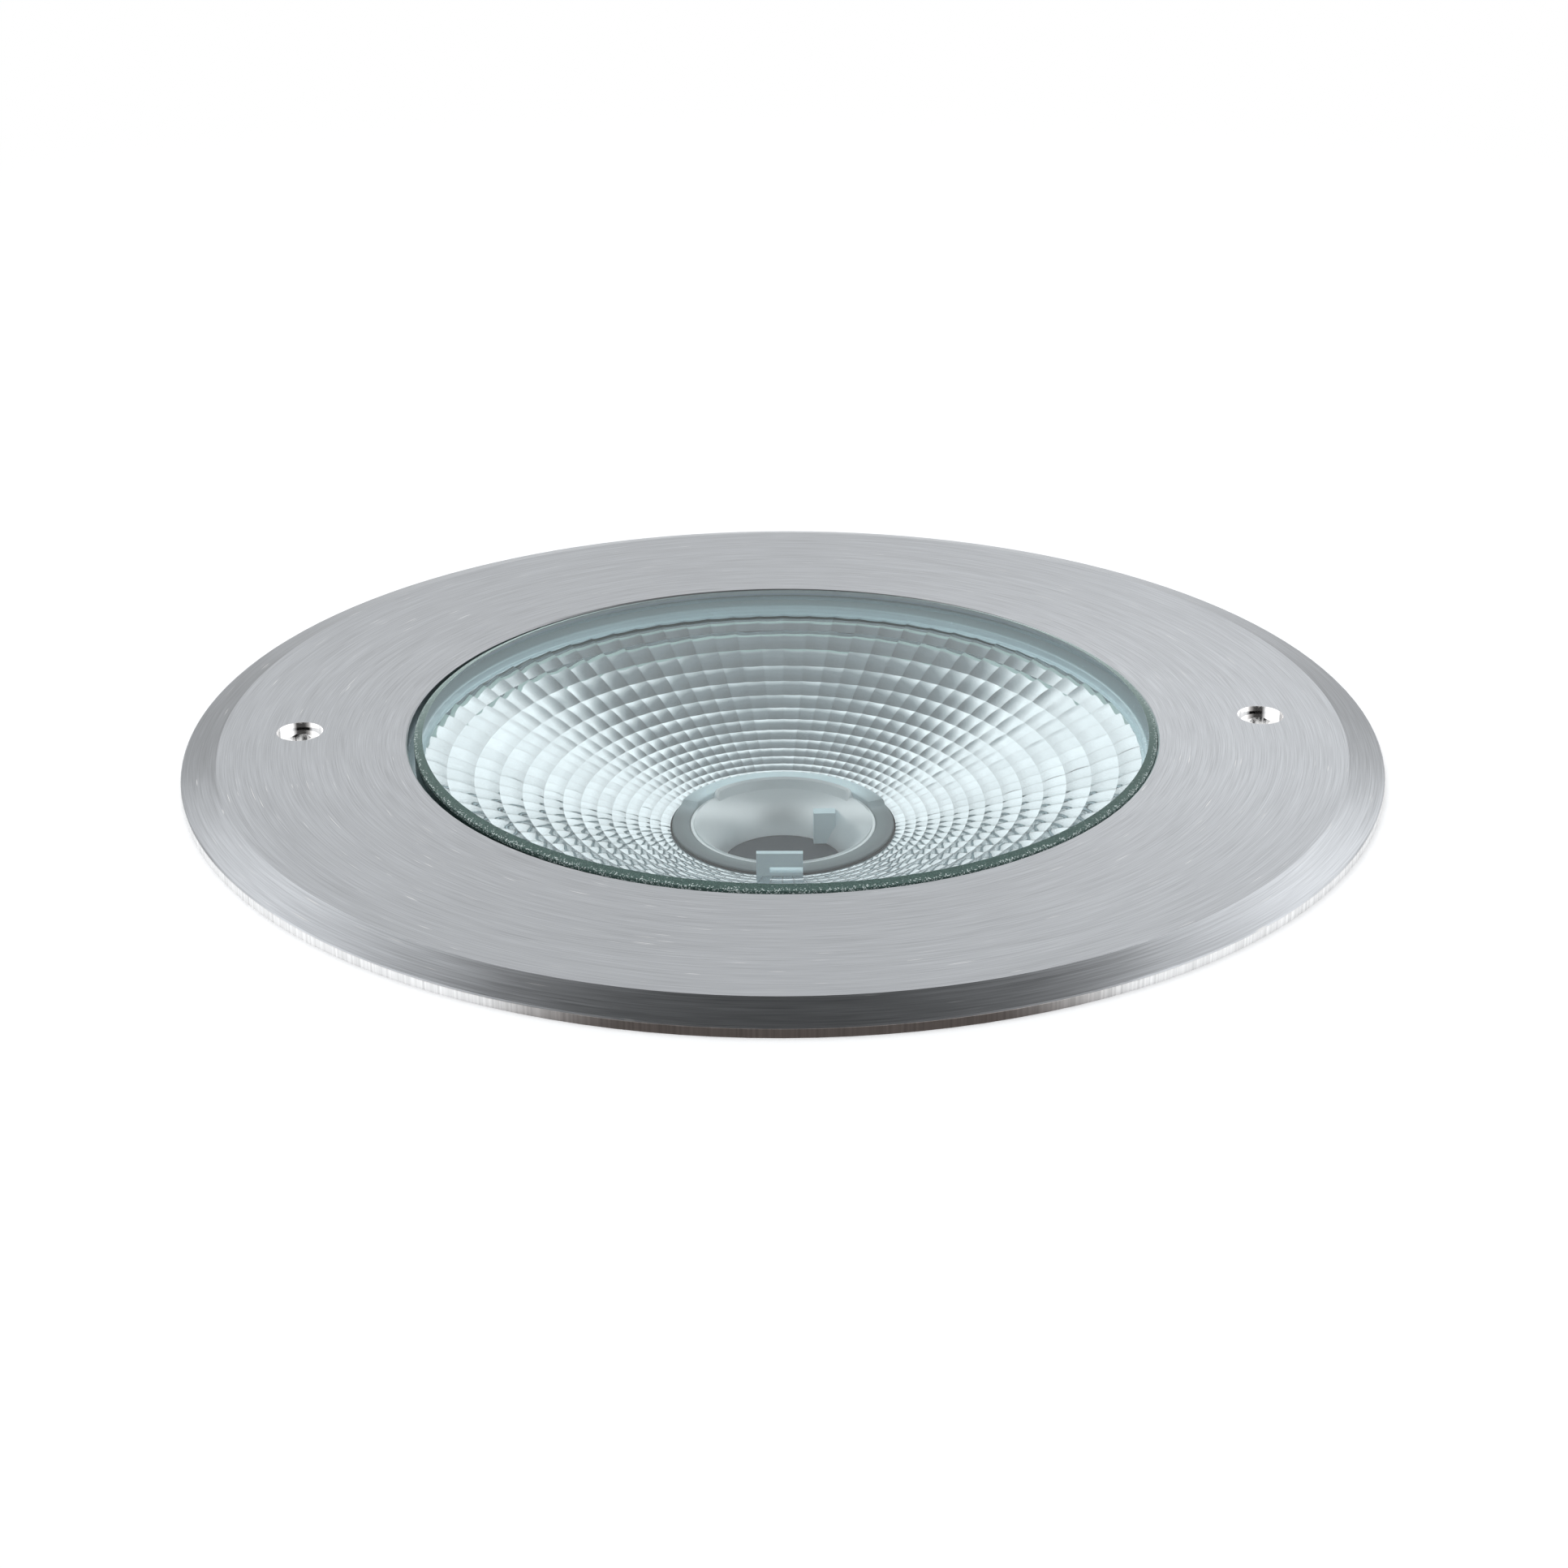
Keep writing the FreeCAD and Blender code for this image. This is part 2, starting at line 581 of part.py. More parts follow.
def pillar_places():
    return ring_places(4, SPREADER_RADIUS - D.pillar_inset, 45.0)


SIDES = (("left", -1), ("right", 1))


def trim_ring():
    inner, outer, blunt = D.opening_radius, D.ring_radius, D.ring_edge_break
    bevel_foot = RING_TOP - D.ring_bevel_drop
    body = turned_body("trim_ring", [
        (inner, 0), (outer, 0), (outer, bevel_foot - blunt), (outer - blunt, bevel_foot),
        (outer - D.ring_bevel_width, RING_TOP), (inner + blunt, RING_TOP), (inner, RING_TOP - blunt)])
    hole = D.cover_head_radius + D.ring_hole_clearance
    holes = [(side * SCREW_CIRCLE_RADIUS, 0, hole) for _, side in SIDES]
    bored(body, "screw_holes", holes, RING_TOP, D.ring_thickness)


def ring_fixings():
    studs, nuts, washers = [], [], []
    hole = D.stud_radius + D.thread_clearance
    nut_top = FLANGE_BOTTOM - D.washer_thickness
    for i, (east, north) in enumerate(stud_places()):
        studs.append(round_bar(f"stud_{i}", D.stud_radius, -D.stud_length, D.stud_length, east, north))
        nut_bottom = nut_top - D.nut_height
        nut = hex_bar(f"nut_blank_{i}", D.nut_flats, nut_bottom, D.nut_height, east, north)
        nut_bore = round_bar(f"nut_bore_{i}", hole, nut_bottom, D.nut_height, east, north)
        nuts.append(less(f"nut_{i}", nut, nut_bore))
        washer = round_bar(f"washer_blank_{i}", D.washer_radius, nut_top, D.washer_thickness, east, north)
        bore = round_bar(f"washer_bore_{i}", hole, nut_top, D.washer_thickness, east, north)
        washers.append(less(f"washer_{i}", washer, bore))
    grouped("ring_studs", studs)
    grouped("stud_nuts", nuts)
    grouped("stud_washers", washers)


def cover_glass():
    margin = GLASS_STEP_RADIUS - D.glass_margin_width
    body = turned_body("cover_glass", [
        (0, GLASS_BOTTOM), (GLASS_FLANGE_RADIUS, GLASS_BOTTOM), (GLASS_FLANGE_RADIUS, GLASS_FLANGE_TOP),
        (GLASS_STEP_RADIUS, GLASS_FLANGE_TOP), (GLASS_STEP_RADIUS, GLASS_TOP - D.glass_margin_drop),
        (margin, GLASS_TOP), (0, GLASS_TOP)])
    place(body, D.glass_play_east, D.glass_play_north)


def glass_gaskets():
    inner = GLASS_STEP_RADIUS + D.upper_gasket_clearance
    outer = GLASS_FLANGE_RADIUS - D.gasket_inset
    turned_body("upper_glass_gasket", [
        (inner, GLASS_FLANGE_TOP), (outer, GLASS_FLANGE_TOP), (outer, 0), (inner, 0)])
    inner = RIM_FLANGE_RADIUS + D.gasket_inset
    outer = RECESS_RADIUS - D.gasket_inset
    turned_body("lower_glass_gasket", [
        (inner, GLASS_SEAT), (outer, GLASS_SEAT), (outer, GLASS_BOTTOM), (inner, GLASS_BOTTOM)])


def lamp_housing():
    well, side = HOUSING_WELL_RADIUS, HOUSING_SIDE_RADIUS
    ledge = reflector_underside()
    side_top = SHOULDER_BOTTOM - D.shoulder_fall
    body = turned_body("lamp_housing", [
        (0, HOUSING_BOTTOM), (side, HOUSING_BOTTOM), (side, side_top),
        (SHOULDER_RADIUS, SHOULDER_BOTTOM), (SHOULDER_RADIUS, FLANGE_BOTTOM),
        (HOUSING_FLANGE_RADIUS, FLANGE_BOTTOM), (HOUSING_FLANGE_RADIUS, 0), (RECESS_RADIUS, 0),
        (RECESS_RADIUS, GLASS_SEAT), (REFLECTOR_BORE_RADIUS, GLASS_SEAT), (REFLECTOR_BORE_RADIUS, ledge),
        (well, ledge), (well, HOUSING_FLOOR_TOP), (0, HOUSING_FLOOR_TOP)])
    root = side - D.housing_wall / 2
    fins(body, "cooling_fin", root, side + D.fin_reach, D.fin_thickness,
         HOUSING_BOTTOM + D.fin_bottom_gap, side_top - D.fin_top_gap, D.fin_count)
    pillars = [(east, north, D.pillar_radius) for east, north in pillar_places()]
    raised(body, "pillars", pillars, HOUSING_FLOOR_TOP, SPREADER_BOTTOM - HOUSING_FLOOR_TOP)
    tapped = D.spreader_screw_radius + D.thread_clearance
    threads = [(east, north, tapped) for east, north in pillar_places()]
    bored(body, "pillar_threads", threads, SPREADER_BOTTOM, D.pillar_thread_depth)
    counterbore = D.cover_head_radius + D.seat_clearance
    seats = [(side * SCREW_CIRCLE_RADIUS, 0, counterbore) for _, side in SIDES]
    bored(body, "screw_seats", seats, 0, -COVER_SEAT)
    shank = D.cover_screw_radius + D.bolt_clearance
    holes = [(side * SCREW_CIRCLE_RADIUS, 0, shank) for _, side in SIDES]
    bored(body, "screw_passages", holes, 0, D.housing_flange_thickness)
    stud_hole = D.stud_radius + D.bolt_clearance
    holes = [(east, north, stud_hole) for east, north in stud_places()]
    bored(body, "stud_passages", holes, 0, D.housing_flange_thickness)
    fixings = [(side * driver_ear_middle(), D.driver_place, D.driver_screw_radius + D.thread_clearance)
               for _, side in SIDES]
    bored(body, "driver_threads", fixings, HOUSING_FLOOR_TOP, D.driver_screw_depth)
    floor_holes = [(0, D.gland_place, D.gland_thread_radius),
                   (D.vent_east, D.vent_north, D.vent_thread_radius)]
    bored(body, "floor_holes", floor_holes, HOUSING_FLOOR_TOP, D.housing_floor)


def bowl_height(radius):
    """Height of the reflector's bowl: an even slope and a part that grows with the radius squared."""
    neck, rim = D.neck_radius, FACET_RIM_RADIUS
    curved_rise = FACET_RIM_LEVEL + D.neck_depth - D.bowl_slope * (rim - neck)
    share = (radius * radius - neck * neck) / (rim * rim - neck * neck)
    return D.bowl_slope * (radius - neck) + curved_rise * share - D.neck_depth


def facet_rows():
    """Radii of the borders between the facet rows, from the neck outwards at one even ratio."""
    count = int(D.row_count.value)
    outermost = FACET_RIM_RADIUS - D.part_row_width
    growth = (outermost.value / D.neck_radius.value) ** (1 / count)
    full_rows = [D.neck_radius * growth ** number for number in range(count)]
    return full_rows + [outermost, FACET_RIM_RADIUS]


def reflector_underside():
    """Level of the reflector's flat underside within its rim."""
    return bowl_height(FACET_RIM_RADIUS) - D.reflector_wall - D.rim_ledge_width


def reflector_outline():
    """The reflector's (radius, height) outline, facet rows first, going outwards."""
    rows = facet_rows()
    outline = [(radius, bowl_height(radius)) for radius in rows]
    ledge = bowl_height(FACET_RIM_RADIUS)
    collar_inner = REFLECTOR_RIM_RADIUS - D.collar_thickness
    collar_top = GLASS_BOTTOM - D.collar_clearance
    underside = reflector_underside()
    outline += [(collar_inner, ledge), (collar_inner, collar_top), (RIM_FLANGE_RADIUS, collar_top),
                (RIM_FLANGE_RADIUS, GLASS_SEAT), (REFLECTOR_RIM_RADIUS, GLASS_SEAT),
                (REFLECTOR_RIM_RADIUS, underside), (FACET_RIM_RADIUS - 2 * D.collar_thickness, underside)]
    for share in (4, 8):
        radius = rows[-1 - share]
        outline.append((radius, bowl_height(radius) - D.reflector_wall))
    outline.append((D.neck_radius, bowl_height(D.neck_radius) - D.reflector_wall))
    return [(radius.value, height.value) for radius, height in outline]


def many_sided_ring(outline, sides):
    """A closed solid with flat faces: each edge of the outline makes one flat face on every side."""
    def corner(radius, height, number):
        angle = 2 * math.pi * number / sides
        return FreeCAD.Vector(radius * math.cos(angle), radius * math.sin(angle), height)

    faces = []
    for (r1, z1), (r2, z2) in zip(outline, outline[1:] + outline[:1], strict=True):
        for number in range(sides):
            loop = [corner(r1, z1, number), corner(r2, z2, number),
                    corner(r2, z2, number + 1), corner(r1, z1, number + 1), corner(r1, z1, number)]
            faces.append(Part.Face(Part.makePolygon(loop)))
    shell = Part.makeShell(faces)
    shell.sewShape()
    solid = Part.makeSolid(shell)
    if solid.Volume < 0:
        solid.reverse()
    return solid


def reflector():
    piece = node(DOC.addObject("Part::Feature", "reflector_shell"), "reflector")
    piece.Shape = many_sided_ring(reflector_outline(), int(D.facet_count.value))
    clocked(piece)


def holder_ring():
    inner = D.cup_mouth_radius + D.cup_wall + D.lens_clearance
    skirt = HOLDER_RADIUS - D.holder_wall
    under = HOLDER_TOP - D.holder_top_thickness
    body = turned_body("holder_ring_blank", [
        (skirt, SPREADER_TOP), (HOLDER_RADIUS, SPREADER_TOP), (HOLDER_RADIUS, HOLDER_TOP),
        (inner, HOLDER_TOP), (inner, under), (skirt, under)])
    NODES.remove(body)
    notches = []
    for name, bearing in (("east", D.holder_notch_bearing), ("west", 180 - D.holder_notch_bearing)):
        notch = block(f"{name}_notch", 2 * D.holder_notch_depth, D.holder_notch_width,
                      2 * D.holder_top_thickness, inner * cosine(bearing), inner * sine(bearing), under)
        notches.append(notch)
    slot = block("lead_slot", D.lead_slot_width, 3 * D.holder_wall, D.lead_slot_height,
                 0, -HOLDER_RADIUS, SPREADER_TOP)
    rise = sector("holder_rise", inner, HOLDER_RADIUS, HOLDER_TOP, D.holder_rise, D.holder_rise_span)
    ring = joined("holder_with_rise", body, rise)
    clocked(node(less("holder_ring", ring, slot, *notches), "holder_ring"))


def mixing_cup():
    mouth, floor, wall = D.cup_mouth_radius, D.cup_floor_radius, D.cup_wall
    foot = floor + D.cup_foot_width
    body = turned_body("mixing_cup_blank", [
        (floor, LENS_BOTTOM), (foot, LENS_BOTTOM), (foot, LENS_TOP), (floor + 1.5 * wall, LENS_TOP),
        (mouth + wall, CUP_TOP), (mouth, CUP_TOP), (floor, LENS_TOP)])
    NODES.remove(body)
    lip = sector("cup_lip", mouth, mouth + wall, CUP_TOP, D.cup_lip_height, D.cup_lip_span)
    clocked(node(joined("mixing_cup_shell", body, lip), "mixing_cup"))


def latch_clip():
    bottom = HOLDER_TOP - D.clip_drop
    middle = -(D.neck_radius + D.clip_thickness / 2)
    height = D.clip_height + D.clip_drop
    plate = block("clip_plate", D.clip_width, D.clip_thickness, height, D.clip_east, middle, bottom)
    foot_reach = D.clip_foot_length + D.clip_thickness
    foot = block("clip_foot", D.clip_width, foot_reach, D.clip_foot_thickness,
                 D.clip_east, middle - D.clip_thickness / 2 + foot_reach / 2, HOLDER_TOP)
    window = block("clip_window", D.clip_window_width, 2 * D.clip_thickness, D.clip_window_height,
                   D.clip_east + D.clip_width / 2 - D.clip_window_width / 2,
                   middle - D.clip_thickness / 2,
                   HOLDER_TOP + D.clip_foot_thickness + D.clip_window_rise)
    clocked(node(less("latch_clip", joined("clip_blank", plate, foot), window), "latch_clip"))


def wire_guide():
    """A bar that leans on the cup's wall; its place is bound to the sheet, so it isn't clocked."""
    blank = block("guide_blank", D.guide_width, D.guide_thickness, D.guide_height,
                  D.guide_east, D.guide_north, LENS_TOP)
    floor, mouth = D.cup_floor_radius, D.cup_mouth_radius
    outside = turned_body("guide_outside", [
        (floor, LENS_TOP), (2 * mouth, LENS_TOP), (2 * mouth, CUP_TOP), (mouth, CUP_TOP)])
    NODES.remove(outside)
    node(less("guide", blank, outside), "wire_guide")


def light_source():
    lens_radius = D.cup_floor_radius - D.lens_clearance
    lens = turned_body("led_lens", [(0, LENS_BOTTOM), (lens_radius, LENS_BOTTOM),
                                    (lens_radius, LENS_TOP), (0, LENS_TOP)])
    clocked(lens)
    turned_body("led_phosphor", [(0, SUBSTRATE_TOP), (D.phosphor_radius, SUBSTRATE_TOP),
                                 (D.phosphor_radius, PHOSPHOR_TOP), (0, PHOSPHOR_TOP)])
    side = D.substrate_side
    node(block("substrate", side, side, D.substrate_thickness, 0, 0, PAD_TOP), "led_substrate")
    pad_side = side - 2 * D.pad_margin
    node(block("pad", pad_side, pad_side, D.pad_thickness, 0, 0, SPREADER_TOP), "thermal_pad")
    blank = round_bar("frame_blank", D.frame_radius, SPREADER_TOP, LENS_BOTTOM - SPREADER_TOP)
    window = round_bar("frame_window", D.frame_window_radius, SPREADER_TOP, LENS_BOTTOM - SPREADER_TOP)
    pocket_side = side + 2 * D.lens_clearance
    depth = SUBSTRATE_TOP - SPREADER_TOP
    pocket = block("frame_pocket", pocket_side, pocket_side, depth, 0, 0, SPREADER_TOP)
    node(less("frame", blank, window, pocket), "led_frame")


def heat_spreader():
    body = turned_body("heat_spreader", [
        (0, SPREADER_BOTTOM), (SPREADER_RADIUS, SPREADER_BOTTOM), (SPREADER_RADIUS, SPREADER_TOP),
        (0, SPREADER_TOP)])
    passage = D.spreader_screw_radius + D.bolt_clearance
    holes = [(east, north, passage) for east, north in pillar_places()]
    holes.append((0, D.lead_place, D.lead_hole_radius))
    bored(body, "spreader_holes", holes, SPREADER_TOP, D.spreader_thickness)
    screws = []
    for i, (east, north) in enumerate(pillar_places()):
        head = round_bar(f"spreader_head_{i}", D.spreader_head_radius, SPREADER_TOP,
                         D.spreader_head_height, east, north)
        shank = round_bar(f"spreader_shank_{i}", D.spreader_screw_radius,
                          SPREADER_TOP - D.spreader_screw_length, D.spreader_screw_length, east, north)
        screws.append(joined(f"spreader_screw_{i}", head, shank))
    grouped("spreader_screws", screws)


def lead_path(east):
    """Straight up through the spreader, one bend, then across to the light source's frame."""
    place_y, bend = D.lead_place.value, D.lead_bend_radius.value
    start = HOUSING_FLOOR_TOP.value + D.driver_height.value
    level = SPREADER_TOP.value + D.lead_height.value
    side_gap = D.frame_radius.value ** 2 - (abs(east) + D.lead_radius.value) ** 2
    finish = -math.sqrt(side_gap) - D.lens_clearance.value - (D.frame_radius.value - math.sqrt(side_gap))
    points = [FreeCAD.Vector(east, place_y, start), FreeCAD.Vector(east, place_y, level - bend),
              FreeCAD.Vector(east, place_y + bend, level), FreeCAD.Vector(east, finish, level)]
    slack = bend * (1 - math.sqrt(0.5))
    middle = FreeCAD.Vector(east, place_y + slack, level - slack)
    return Part.Wire([Part.LineSegment(points[0], points[1]).toShape(),
                      Part.Arc(points[1], middle, points[2]).toShape(),
                      Part.LineSegment(points[2], points[3]).toShape()])


def led_leads():
    tubes = []
    radius = D.lead_radius.value
    for side in (-1, 1):
        path = lead_path(side * D.lead_spacing.value / 2)
        start = path.Vertexes[0].Point
        section = Part.Wire([Part.makeCircle(radius, start, FreeCAD.Vector(0, 0, 1))])
        tube = path.makePipeShell([section], True, False)
        expected = math.pi * radius ** 2 * path.Length
        if abs(tube.Volume - expected) > 0.01 * expected:
            raise RuntimeError("a lead's tube has the wrong volume")
        tubes.append(tube)
    piece = node(DOC.addObject("Part::Feature", "leads"), "led_leads")
    piece.Shape = Part.makeCompound(tubes)


def driver_ear_middle():
    return D.driver_length / 2 + D.ear_length / 2


def driver():
    body = node(DOC.addObject("PartDesign::Body", "driver_body"), "driver_case")
    sketch = new_sketch(body, "XY_Plane", "driver_outline", HOUSING_FLOOR_TOP)
    half_length, half_width = D.driver_length / 2, D.driver_width / 2
    south, north = D.driver_place - half_width, D.driver_place + half_width
    add_outline(sketch, [(-half_length, south), (half_length, south),
                         (half_length, north), (-half_length, north)])
    pad = body.newObject("PartDesign::Pad", "driver_pad")
    pad.Profile = sketch
    bind(pad, Length=D.driver_height)
    body.Tip = pad
    DOC.recompute()
    upright = [f"Edge{i}" for i, edge in enumerate(pad.Shape.Edges, start=1)
               if abs(edge.tangentAt(edge.FirstParameter).z) > 0.99]
    corners = body.newObject("PartDesign::Fillet", "driver_corners")
    corners.Base = (pad, upright)
    bind(corners, Radius=D.driver_corner)
    body.Tip = corners
    before = volume_now(body)
    ears = new_sketch(body, "XY_Plane", "ear_outline", HOUSING_FLOOR_TOP)
    reach, half_ear = half_length + D.ear_length, D.ear_width / 2
    add_outline(ears, [(-reach, D.driver_place - half_ear), (reach, D.driver_place - half_ear),
                       (reach, D.driver_place + half_ear), (-reach, D.driver_place + half_ear)])
    ear_pad = body.newObject("PartDesign::Pad", "ears")
    ear_pad.Profile = ears
    bind(ear_pad, Length=D.ear_thickness)
    body.Tip = ear_pad
    check_change(body, before, grows=True)
    passage = D.driver_screw_radius + D.bolt_clearance
    holes = [(side * driver_ear_middle(), D.driver_place, passage) for _, side in SIDES]
    bored(body, "ear_holes", holes, HOUSING_FLOOR_TOP + D.ear_thickness, D.ear_thickness)
    screws = []
    ear_top = HOUSING_FLOOR_TOP + D.ear_thickness
    for name, side in SIDES:
        east = side * driver_ear_middle()
        length = D.driver_screw_depth + D.ear_thickness
        shank = round_bar(f"{name}_driver_shank", D.driver_screw_radius, ear_top - length, length,
                          east, D.driver_place)
        head = round_bar(f"{name}_driver_head", D.driver_head_radius, ear_top, D.driver_head_height,
                         east, D.driver_place)
        screws.append(joined(f"{name}_driver_screw", shank, head))
    grouped("driver_screws", screws)


def terminals():
    poles = int(D.terminal_poles.value)
    length = D.terminal_pitch * D.terminal_poles
    base = block("terminal_blank", length, D.terminal_width, D.terminal_height,
                 0, D.terminal_place, HOUSING_FLOOR_TOP)
    cuts, screws = [], []
    top = HOUSING_FLOOR_TOP + D.terminal_height
    for i in range(poles):
        east = D.terminal_pitch * (i - (poles - 1) / 2)
        entry = cross_bar(f"wire_entry_{i}", D.terminal_entry_radius,
                          D.terminal_place - D.terminal_width, 2 * D.terminal_width,
                          HOUSING_FLOOR_TOP + D.terminal_entry_height)
        place(entry, east)
        depth = D.terminal_screw_length + D.terminal_screw_radius
        shaft = round_bar(f"screw_shaft_{i}", D.terminal_screw_radius + D.thread_clearance,
                          top - depth, depth, east, D.terminal_place)
        cuts += [entry, shaft]
        screws.append(round_bar(f"terminal_screw_{i}", D.terminal_screw_radius,
                                top - D.terminal_screw_radius / 2 - D.terminal_screw_length,
                                D.terminal_screw_length, east, D.terminal_place))
    node(less("terminal", base, *cuts), "terminal_block")
    grouped("terminal_screws", screws)


def hex_sleeve(label, flats, bottom, height, bore, north):
    """A hexagon with a round bore."""
    blank = hex_bar(f"{label}_blank", flats, bottom, height, 0, north)
    hole = round_bar(f"{label}_bore", bore, bottom, height, 0, north)
    return less(label, blank, hole)


def cable_gland():
    thread = D.gland_thread_radius - D.thread_clearance
    north = D.gland_place
    bore_bottom = GLAND_HEX_BOTTOM - D.gland_barrel_length
    stub_top = HOUSING_FLOOR_TOP + D.locknut_height
    stub = round_bar("gland_stub", thread, GLAND_FACE, stub_top - GLAND_FACE, 0, north)
    hexagon = hex_bar("gland_hexagon", D.gland_flats, GLAND_HEX_BOTTOM, D.gland_hex_height, 0, north)
    barrel = round_bar("gland_barrel", D.gland_barrel_radius, bore_bottom, D.gland_barrel_length, 0, north)
    bore = round_bar("gland_bore", D.gland_bore_radius, bore_bottom, stub_top - bore_bottom, 0, north)
    cavity = round_bar("gland_cavity", D.gland_seal_radius, bore_bottom, D.gland_barrel_length, 0, north)
    node(less("gland", joined("gland_blank", stub, hexagon, barrel), bore, cavity), "gland_body")
    gasket = turned_body("gland_gasket", [
        (D.gland_thread_radius, GLAND_FACE), (D.gland_flats / 2, GLAND_FACE),
        (D.gland_flats / 2, HOUSING_BOTTOM), (D.gland_thread_radius, HOUSING_BOTTOM)])
    place(gasket, None, north)
    seal = turned_body("gland_seal", [
        (D.gland_cable_radius, GLAND_BARREL_BOTTOM), (D.gland_seal_radius, GLAND_BARREL_BOTTOM),
        (D.gland_seal_radius, GLAND_HEX_BOTTOM), (D.gland_cable_radius, GLAND_HEX_BOTTOM)])
    place(seal, None, north)
    cap = hex_bar("cap_blank", D.gland_flats, GLAND_CAP_BOTTOM, D.gland_cap_length, 0, north)
    thread_bore = D.gland_barrel_radius + D.thread_clearance
    well = round_bar("cap_thread", thread_bore, GLAND_CAP_BOTTOM + D.gland_cap_end,
                     D.gland_cap_length, 0, north)
    mouth = round_bar("cap_mouth", D.gland_bore_radius, GLAND_CAP_BOTTOM, D.gland_cap_end, 0, north)
    node(less("gland_cap", cap, well, mouth), "gland_nut")
    node(hex_sleeve("locknut", D.gland_flats, HOUSING_FLOOR_TOP, D.locknut_height,
                    D.gland_thread_radius, north), "gland_locknut")


def vent_plug():
    thread = D.vent_thread_radius - D.thread_clearance
    cap_bottom = HOUSING_BOTTOM - D.vent_cap_height
    body = turned_body("vent_plug", [
        (D.vent_bore_radius, cap_bottom), (D.vent_cap_radius, cap_bottom),
        (D.vent_cap_radius, HOUSING_BOTTOM), (thread, HOUSING_BOTTOM), (thread, HOUSING_FLOOR_TOP),
        (D.vent_bore_radius, HOUSING_FLOOR_TOP)])
    place(body, D.vent_east, D.vent_north)


def cover_screws():
    for name, side in SIDES:
        east = side * SCREW_CIRCLE_RADIUS
        head = round_bar(f"{name}_head", D.cover_head_radius, COVER_HEAD_BOTTOM, D.cover_head_height, east)
        shank = round_bar(f"{name}_shank", D.cover_screw_radius, COVER_HEAD_BOTTOM - D.cover_screw_length,
                          D.cover_screw_length, east)
        socket = hex_bar(f"{name}_socket", D.cover_socket_flats, COVER_HEAD_TOP - D.cover_socket_depth,
                         D.cover_socket_depth, east)
        blank = joined(f"{name}_screw_blank", head, shank)
        node(less(f"{name}_screw", blank, socket), f"{name}_cover_screw")
        outer = D.cover_head_radius - D.screw_seal_inset
        bore = D.cover_screw_radius + D.thread_clearance
        seal = round_bar(f"{name}_seal_blank", outer, COVER_SEAT, D.screw_seal_thickness, east)
        seal_bore = round_bar(f"{name}_seal_bore", bore, COVER_SEAT, D.screw_seal_thickness, east)
        node(less(f"{name}_seal", seal, seal_bore), f"{name}_screw_seal")
        low = RETAINER_TOP - D.retainer_thickness
        keeper = round_bar(f"{name}_keeper_blank", D.retainer_radius, low, D.retainer_thickness, east)
        keeper_bore = round_bar(f"{name}_keeper_bore", D.cover_screw_radius, low, D.retainer_thickness, east)
        node(less(f"{name}_keeper", keeper, keeper_bore), f"{name}_screw_retainer")


def mounting_sleeve():
    inner, outer, rim = SLEEVE_INNER_RADIUS, SLEEVE_RADIUS, SLEEVE_RIM_RADIUS
    rim_bottom = SLEEVE_TOP - D.sleeve_rim_thickness
    body = turned_body("sleeve_blank", [
        (0, SLEEVE_BOTTOM), (outer, SLEEVE_BOTTOM), (outer, rim_bottom), (rim, rim_bottom),
        (rim, SLEEVE_TOP), (inner, SLEEVE_TOP), (inner, SLEEVE_FLOOR_TOP), (0, SLEEVE_FLOOR_TOP)])
    NODES.remove(body)
    fins(body, "anchor_rib", outer - D.sleeve_wall / 2, outer + D.rib_reach, D.rib_thickness,
         SLEEVE_BOTTOM + D.rib_end_gap, rim_bottom - D.rib_end_gap, D.rib_count)
    bosses = [(side * SCREW_CIRCLE_RADIUS, 0, D.boss_radius) for _, side in SIDES]
    raised(body, "screw_bosses", bosses, BOSS_TOP - D.boss_length, D.boss_length)
    wide = D.retainer_radius + D.boss_hole_clearance
    holes = [(side * SCREW_CIRCLE_RADIUS, 0, wide) for _, side in SIDES]
    bored(body, "boss_mouths", holes, BOSS_TOP, BOSS_TOP - INSERT_TOP)
    holes = [(side * SCREW_CIRCLE_RADIUS, 0, D.insert_radius) for _, side in SIDES]
    bored(body, "insert_pockets", holes, INSERT_TOP, D.insert_length)
    drains = [(east, north, D.drain_radius)
              for east, north in ring_places(int(D.drain_count.value), D.drain_circle_radius, 45.0)]
    bored(body, "drains", drains, SLEEVE_FLOOR_TOP, D.sleeve_wall)
    level = SLEEVE_BOTTOM + D.entry_height
    pads, holes = [], []
    for name, start in (("back", entry_face() - D.entry_boss_length), ("front", -entry_face())):
        pads.append(cross_bar(f"{name}_entry_pad", D.entry_boss_radius, start, D.entry_boss_length, level))
        holes.append(cross_bar(f"{name}_entry_hole", D.entry_hole_radius, start, D.entry_boss_length, level))
    node(less("sleeve", joined("sleeve_with_pads", body, *pads), *holes), "mounting_sleeve")


def entry_face():
    """Distance from the axis to the flat outer face of a cable entry."""
    return SLEEVE_RADIUS + D.entry_boss_reach


def sleeve_fittings():
    inserts = []
    bore = D.cover_screw_radius + D.thread_clearance
    for name, side in SIDES:
        east = side * SCREW_CIRCLE_RADIUS
        low = INSERT_TOP - D.insert_length
        blank = round_bar(f"{name}_insert_blank", D.insert_radius, low, D.insert_length, east)
        hole = round_bar(f"{name}_insert_bore", bore, low, D.insert_length, east)
        inserts.append(less(f"{name}_insert", blank, hole))
    grouped("screw_inserts", inserts)
    inner = SLEEVE_INNER_RADIUS + D.rim_gasket_inset
    outer = SLEEVE_RIM_RADIUS - D.rim_gasket_inset
    turned_body("rim_gasket", [(inner, SLEEVE_TOP), (outer, SLEEVE_TOP), (outer, 0), (inner, 0)])


